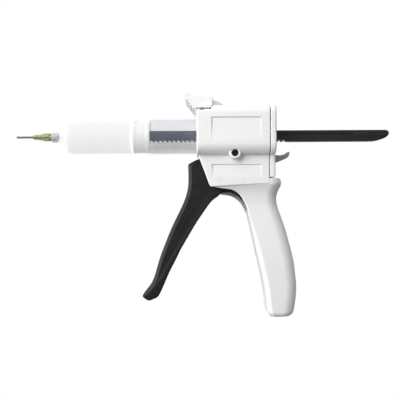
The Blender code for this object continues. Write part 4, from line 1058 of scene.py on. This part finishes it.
# pieces inside, which keep their own shape
carriedOver = {
    "blackAcetal": ["push_disc", "front_guide", "brake_keeper", "pivot_spacer_near", "pivot_spacer_far"],
    "brightSteel": ["pivot_bush", "pawl_pin", "latch_pin", "push_disc_screw"],
    "hardenedSteel": ["pawl", "pawl_cradle"],
    "springWire": ["brake_spring"],
}
for finishName, names in carriedOver.items():
    for name in names:
        nodes[name].data.materials.clear()
        nodes[name].data.materials.append(finishOf[finishName])
print("inner pieces dressed")


studio = dict(floorDrop=0.075, floorSize=3.0, cameraAt=(-0.054, -0.43, 0.0326), roll=0.3, lens=53.48,
              ambient=0.60, slope=(-0.36, 0.18, 0.30), lamps={
                  "keyLamp": (4.6, 0.5, (-0.47, -0.50, 0.36)),
                  "sideLamp": (3.0, 0.5, (-0.90, -0.05, 0.02))})


def makeStudio(shape):
    # light all round, white paper below, two soft lamps and the camera
    world = bpy.data.worlds.new("softBox")
    bpy.context.scene.world = world
    world.use_nodes = True
    tree = world.node_tree
    tree.nodes.clear()
    # its brightness is ambient + slope . direction, never below a little
    towards = addNode(tree, "TexCoord").outputs["Generated"]
    rise = addNode(tree, "VectorMath", {"operation": "DOT_PRODUCT"}, i0=towards, i1=shape["slope"])
    level = arithmetic(tree, "MAXIMUM", arithmetic(tree, "ADD", rise.outputs["Value"], shape["ambient"]),
            0.04)
    around = addNode(tree, "Background", {}, Strength=level)
    plain = addNode(tree, "Background", {}, Strength=1.0)
    plain.inputs["Color"].default_value = (1, 1, 1, 1)
    around.inputs["Color"].default_value = (1, 1, 1, 1)
    seen = addNode(tree, "LightPath").outputs["Is Camera Ray"]
    mix = addNode(tree, "MixShader", {}, i0=seen, i1=around.outputs[0], i2=plain.outputs[0])
    addNode(tree, "OutputWorld", {}, Surface=mix.outputs[0])

    floorMesh = bpy.data.meshes.new("floor")
    half, z = shape["floorSize"] / 2, cadBounds[0][2] - shape["floorDrop"]
    floorMesh.from_pydata([(-half, -half, z), (half, -half, z), (half, half, z), (-half, half, z)], [],
            [(0, 1, 2, 3)])
    floor = bpy.data.objects.new("floor", floorMesh)
    bpy.context.scene.collection.objects.link(floor)
    paper = bpy.data.materials.new("whitePaper")
    paper.use_nodes = True
    tree = paper.node_tree
    shader = tree.nodes["Principled BSDF"]
    shader.inputs["Base Color"].default_value = (0.22, 0.22, 0.22, 1)
    shader.inputs["Roughness"].default_value = 0.9
    glow = addNode(tree, "Emission", {}, Strength=1.0)
    glow.inputs["Color"].default_value = (1, 1, 1, 1)
    seen = addNode(tree, "LightPath").outputs["Is Camera Ray"]
    mix = addNode(tree, "MixShader", {}, i0=seen, i1=shader.outputs[0], i2=glow.outputs[0])
    tree.links.new(mix.outputs[0], tree.nodes["Material Output"].inputs["Surface"])
    floorMesh.materials.append(paper)

    for name, (power, size, at) in shape["lamps"].items():
        lampData = bpy.data.lights.new(name, "AREA")
        lampData.energy, lampData.size = power, size
        lamp = bpy.data.objects.new(name, lampData)
        bpy.context.scene.collection.objects.link(lamp)
        lamp.location = at
        aim = np.array([-0.03, 0.0, 0.03]) - np.array(at)
        lamp.rotation_mode = "QUATERNION"
        lamp.rotation_quaternion = Vector(aim).to_track_quat("-Z", "Y")

    cameraData = bpy.data.cameras.new("camera")
    cameraData.lens, cameraData.sensor_width = shape["lens"], 36.0
    cameraData.clip_start, cameraData.clip_end = 0.01, 20.0
    camera = bpy.data.objects.new("camera", cameraData)
    bpy.context.scene.collection.objects.link(camera)
    camera.location = shape["cameraAt"]
    camera.rotation_euler = (radians(90), radians(shape["roll"]), 0)
    bpy.context.scene.camera = camera
    view = bpy.context.scene.view_settings
    view.view_transform, view.look, view.exposure, view.gamma = "Standard", "None", 0.0, 1.0


makeStudio(studio)
print("studio made")
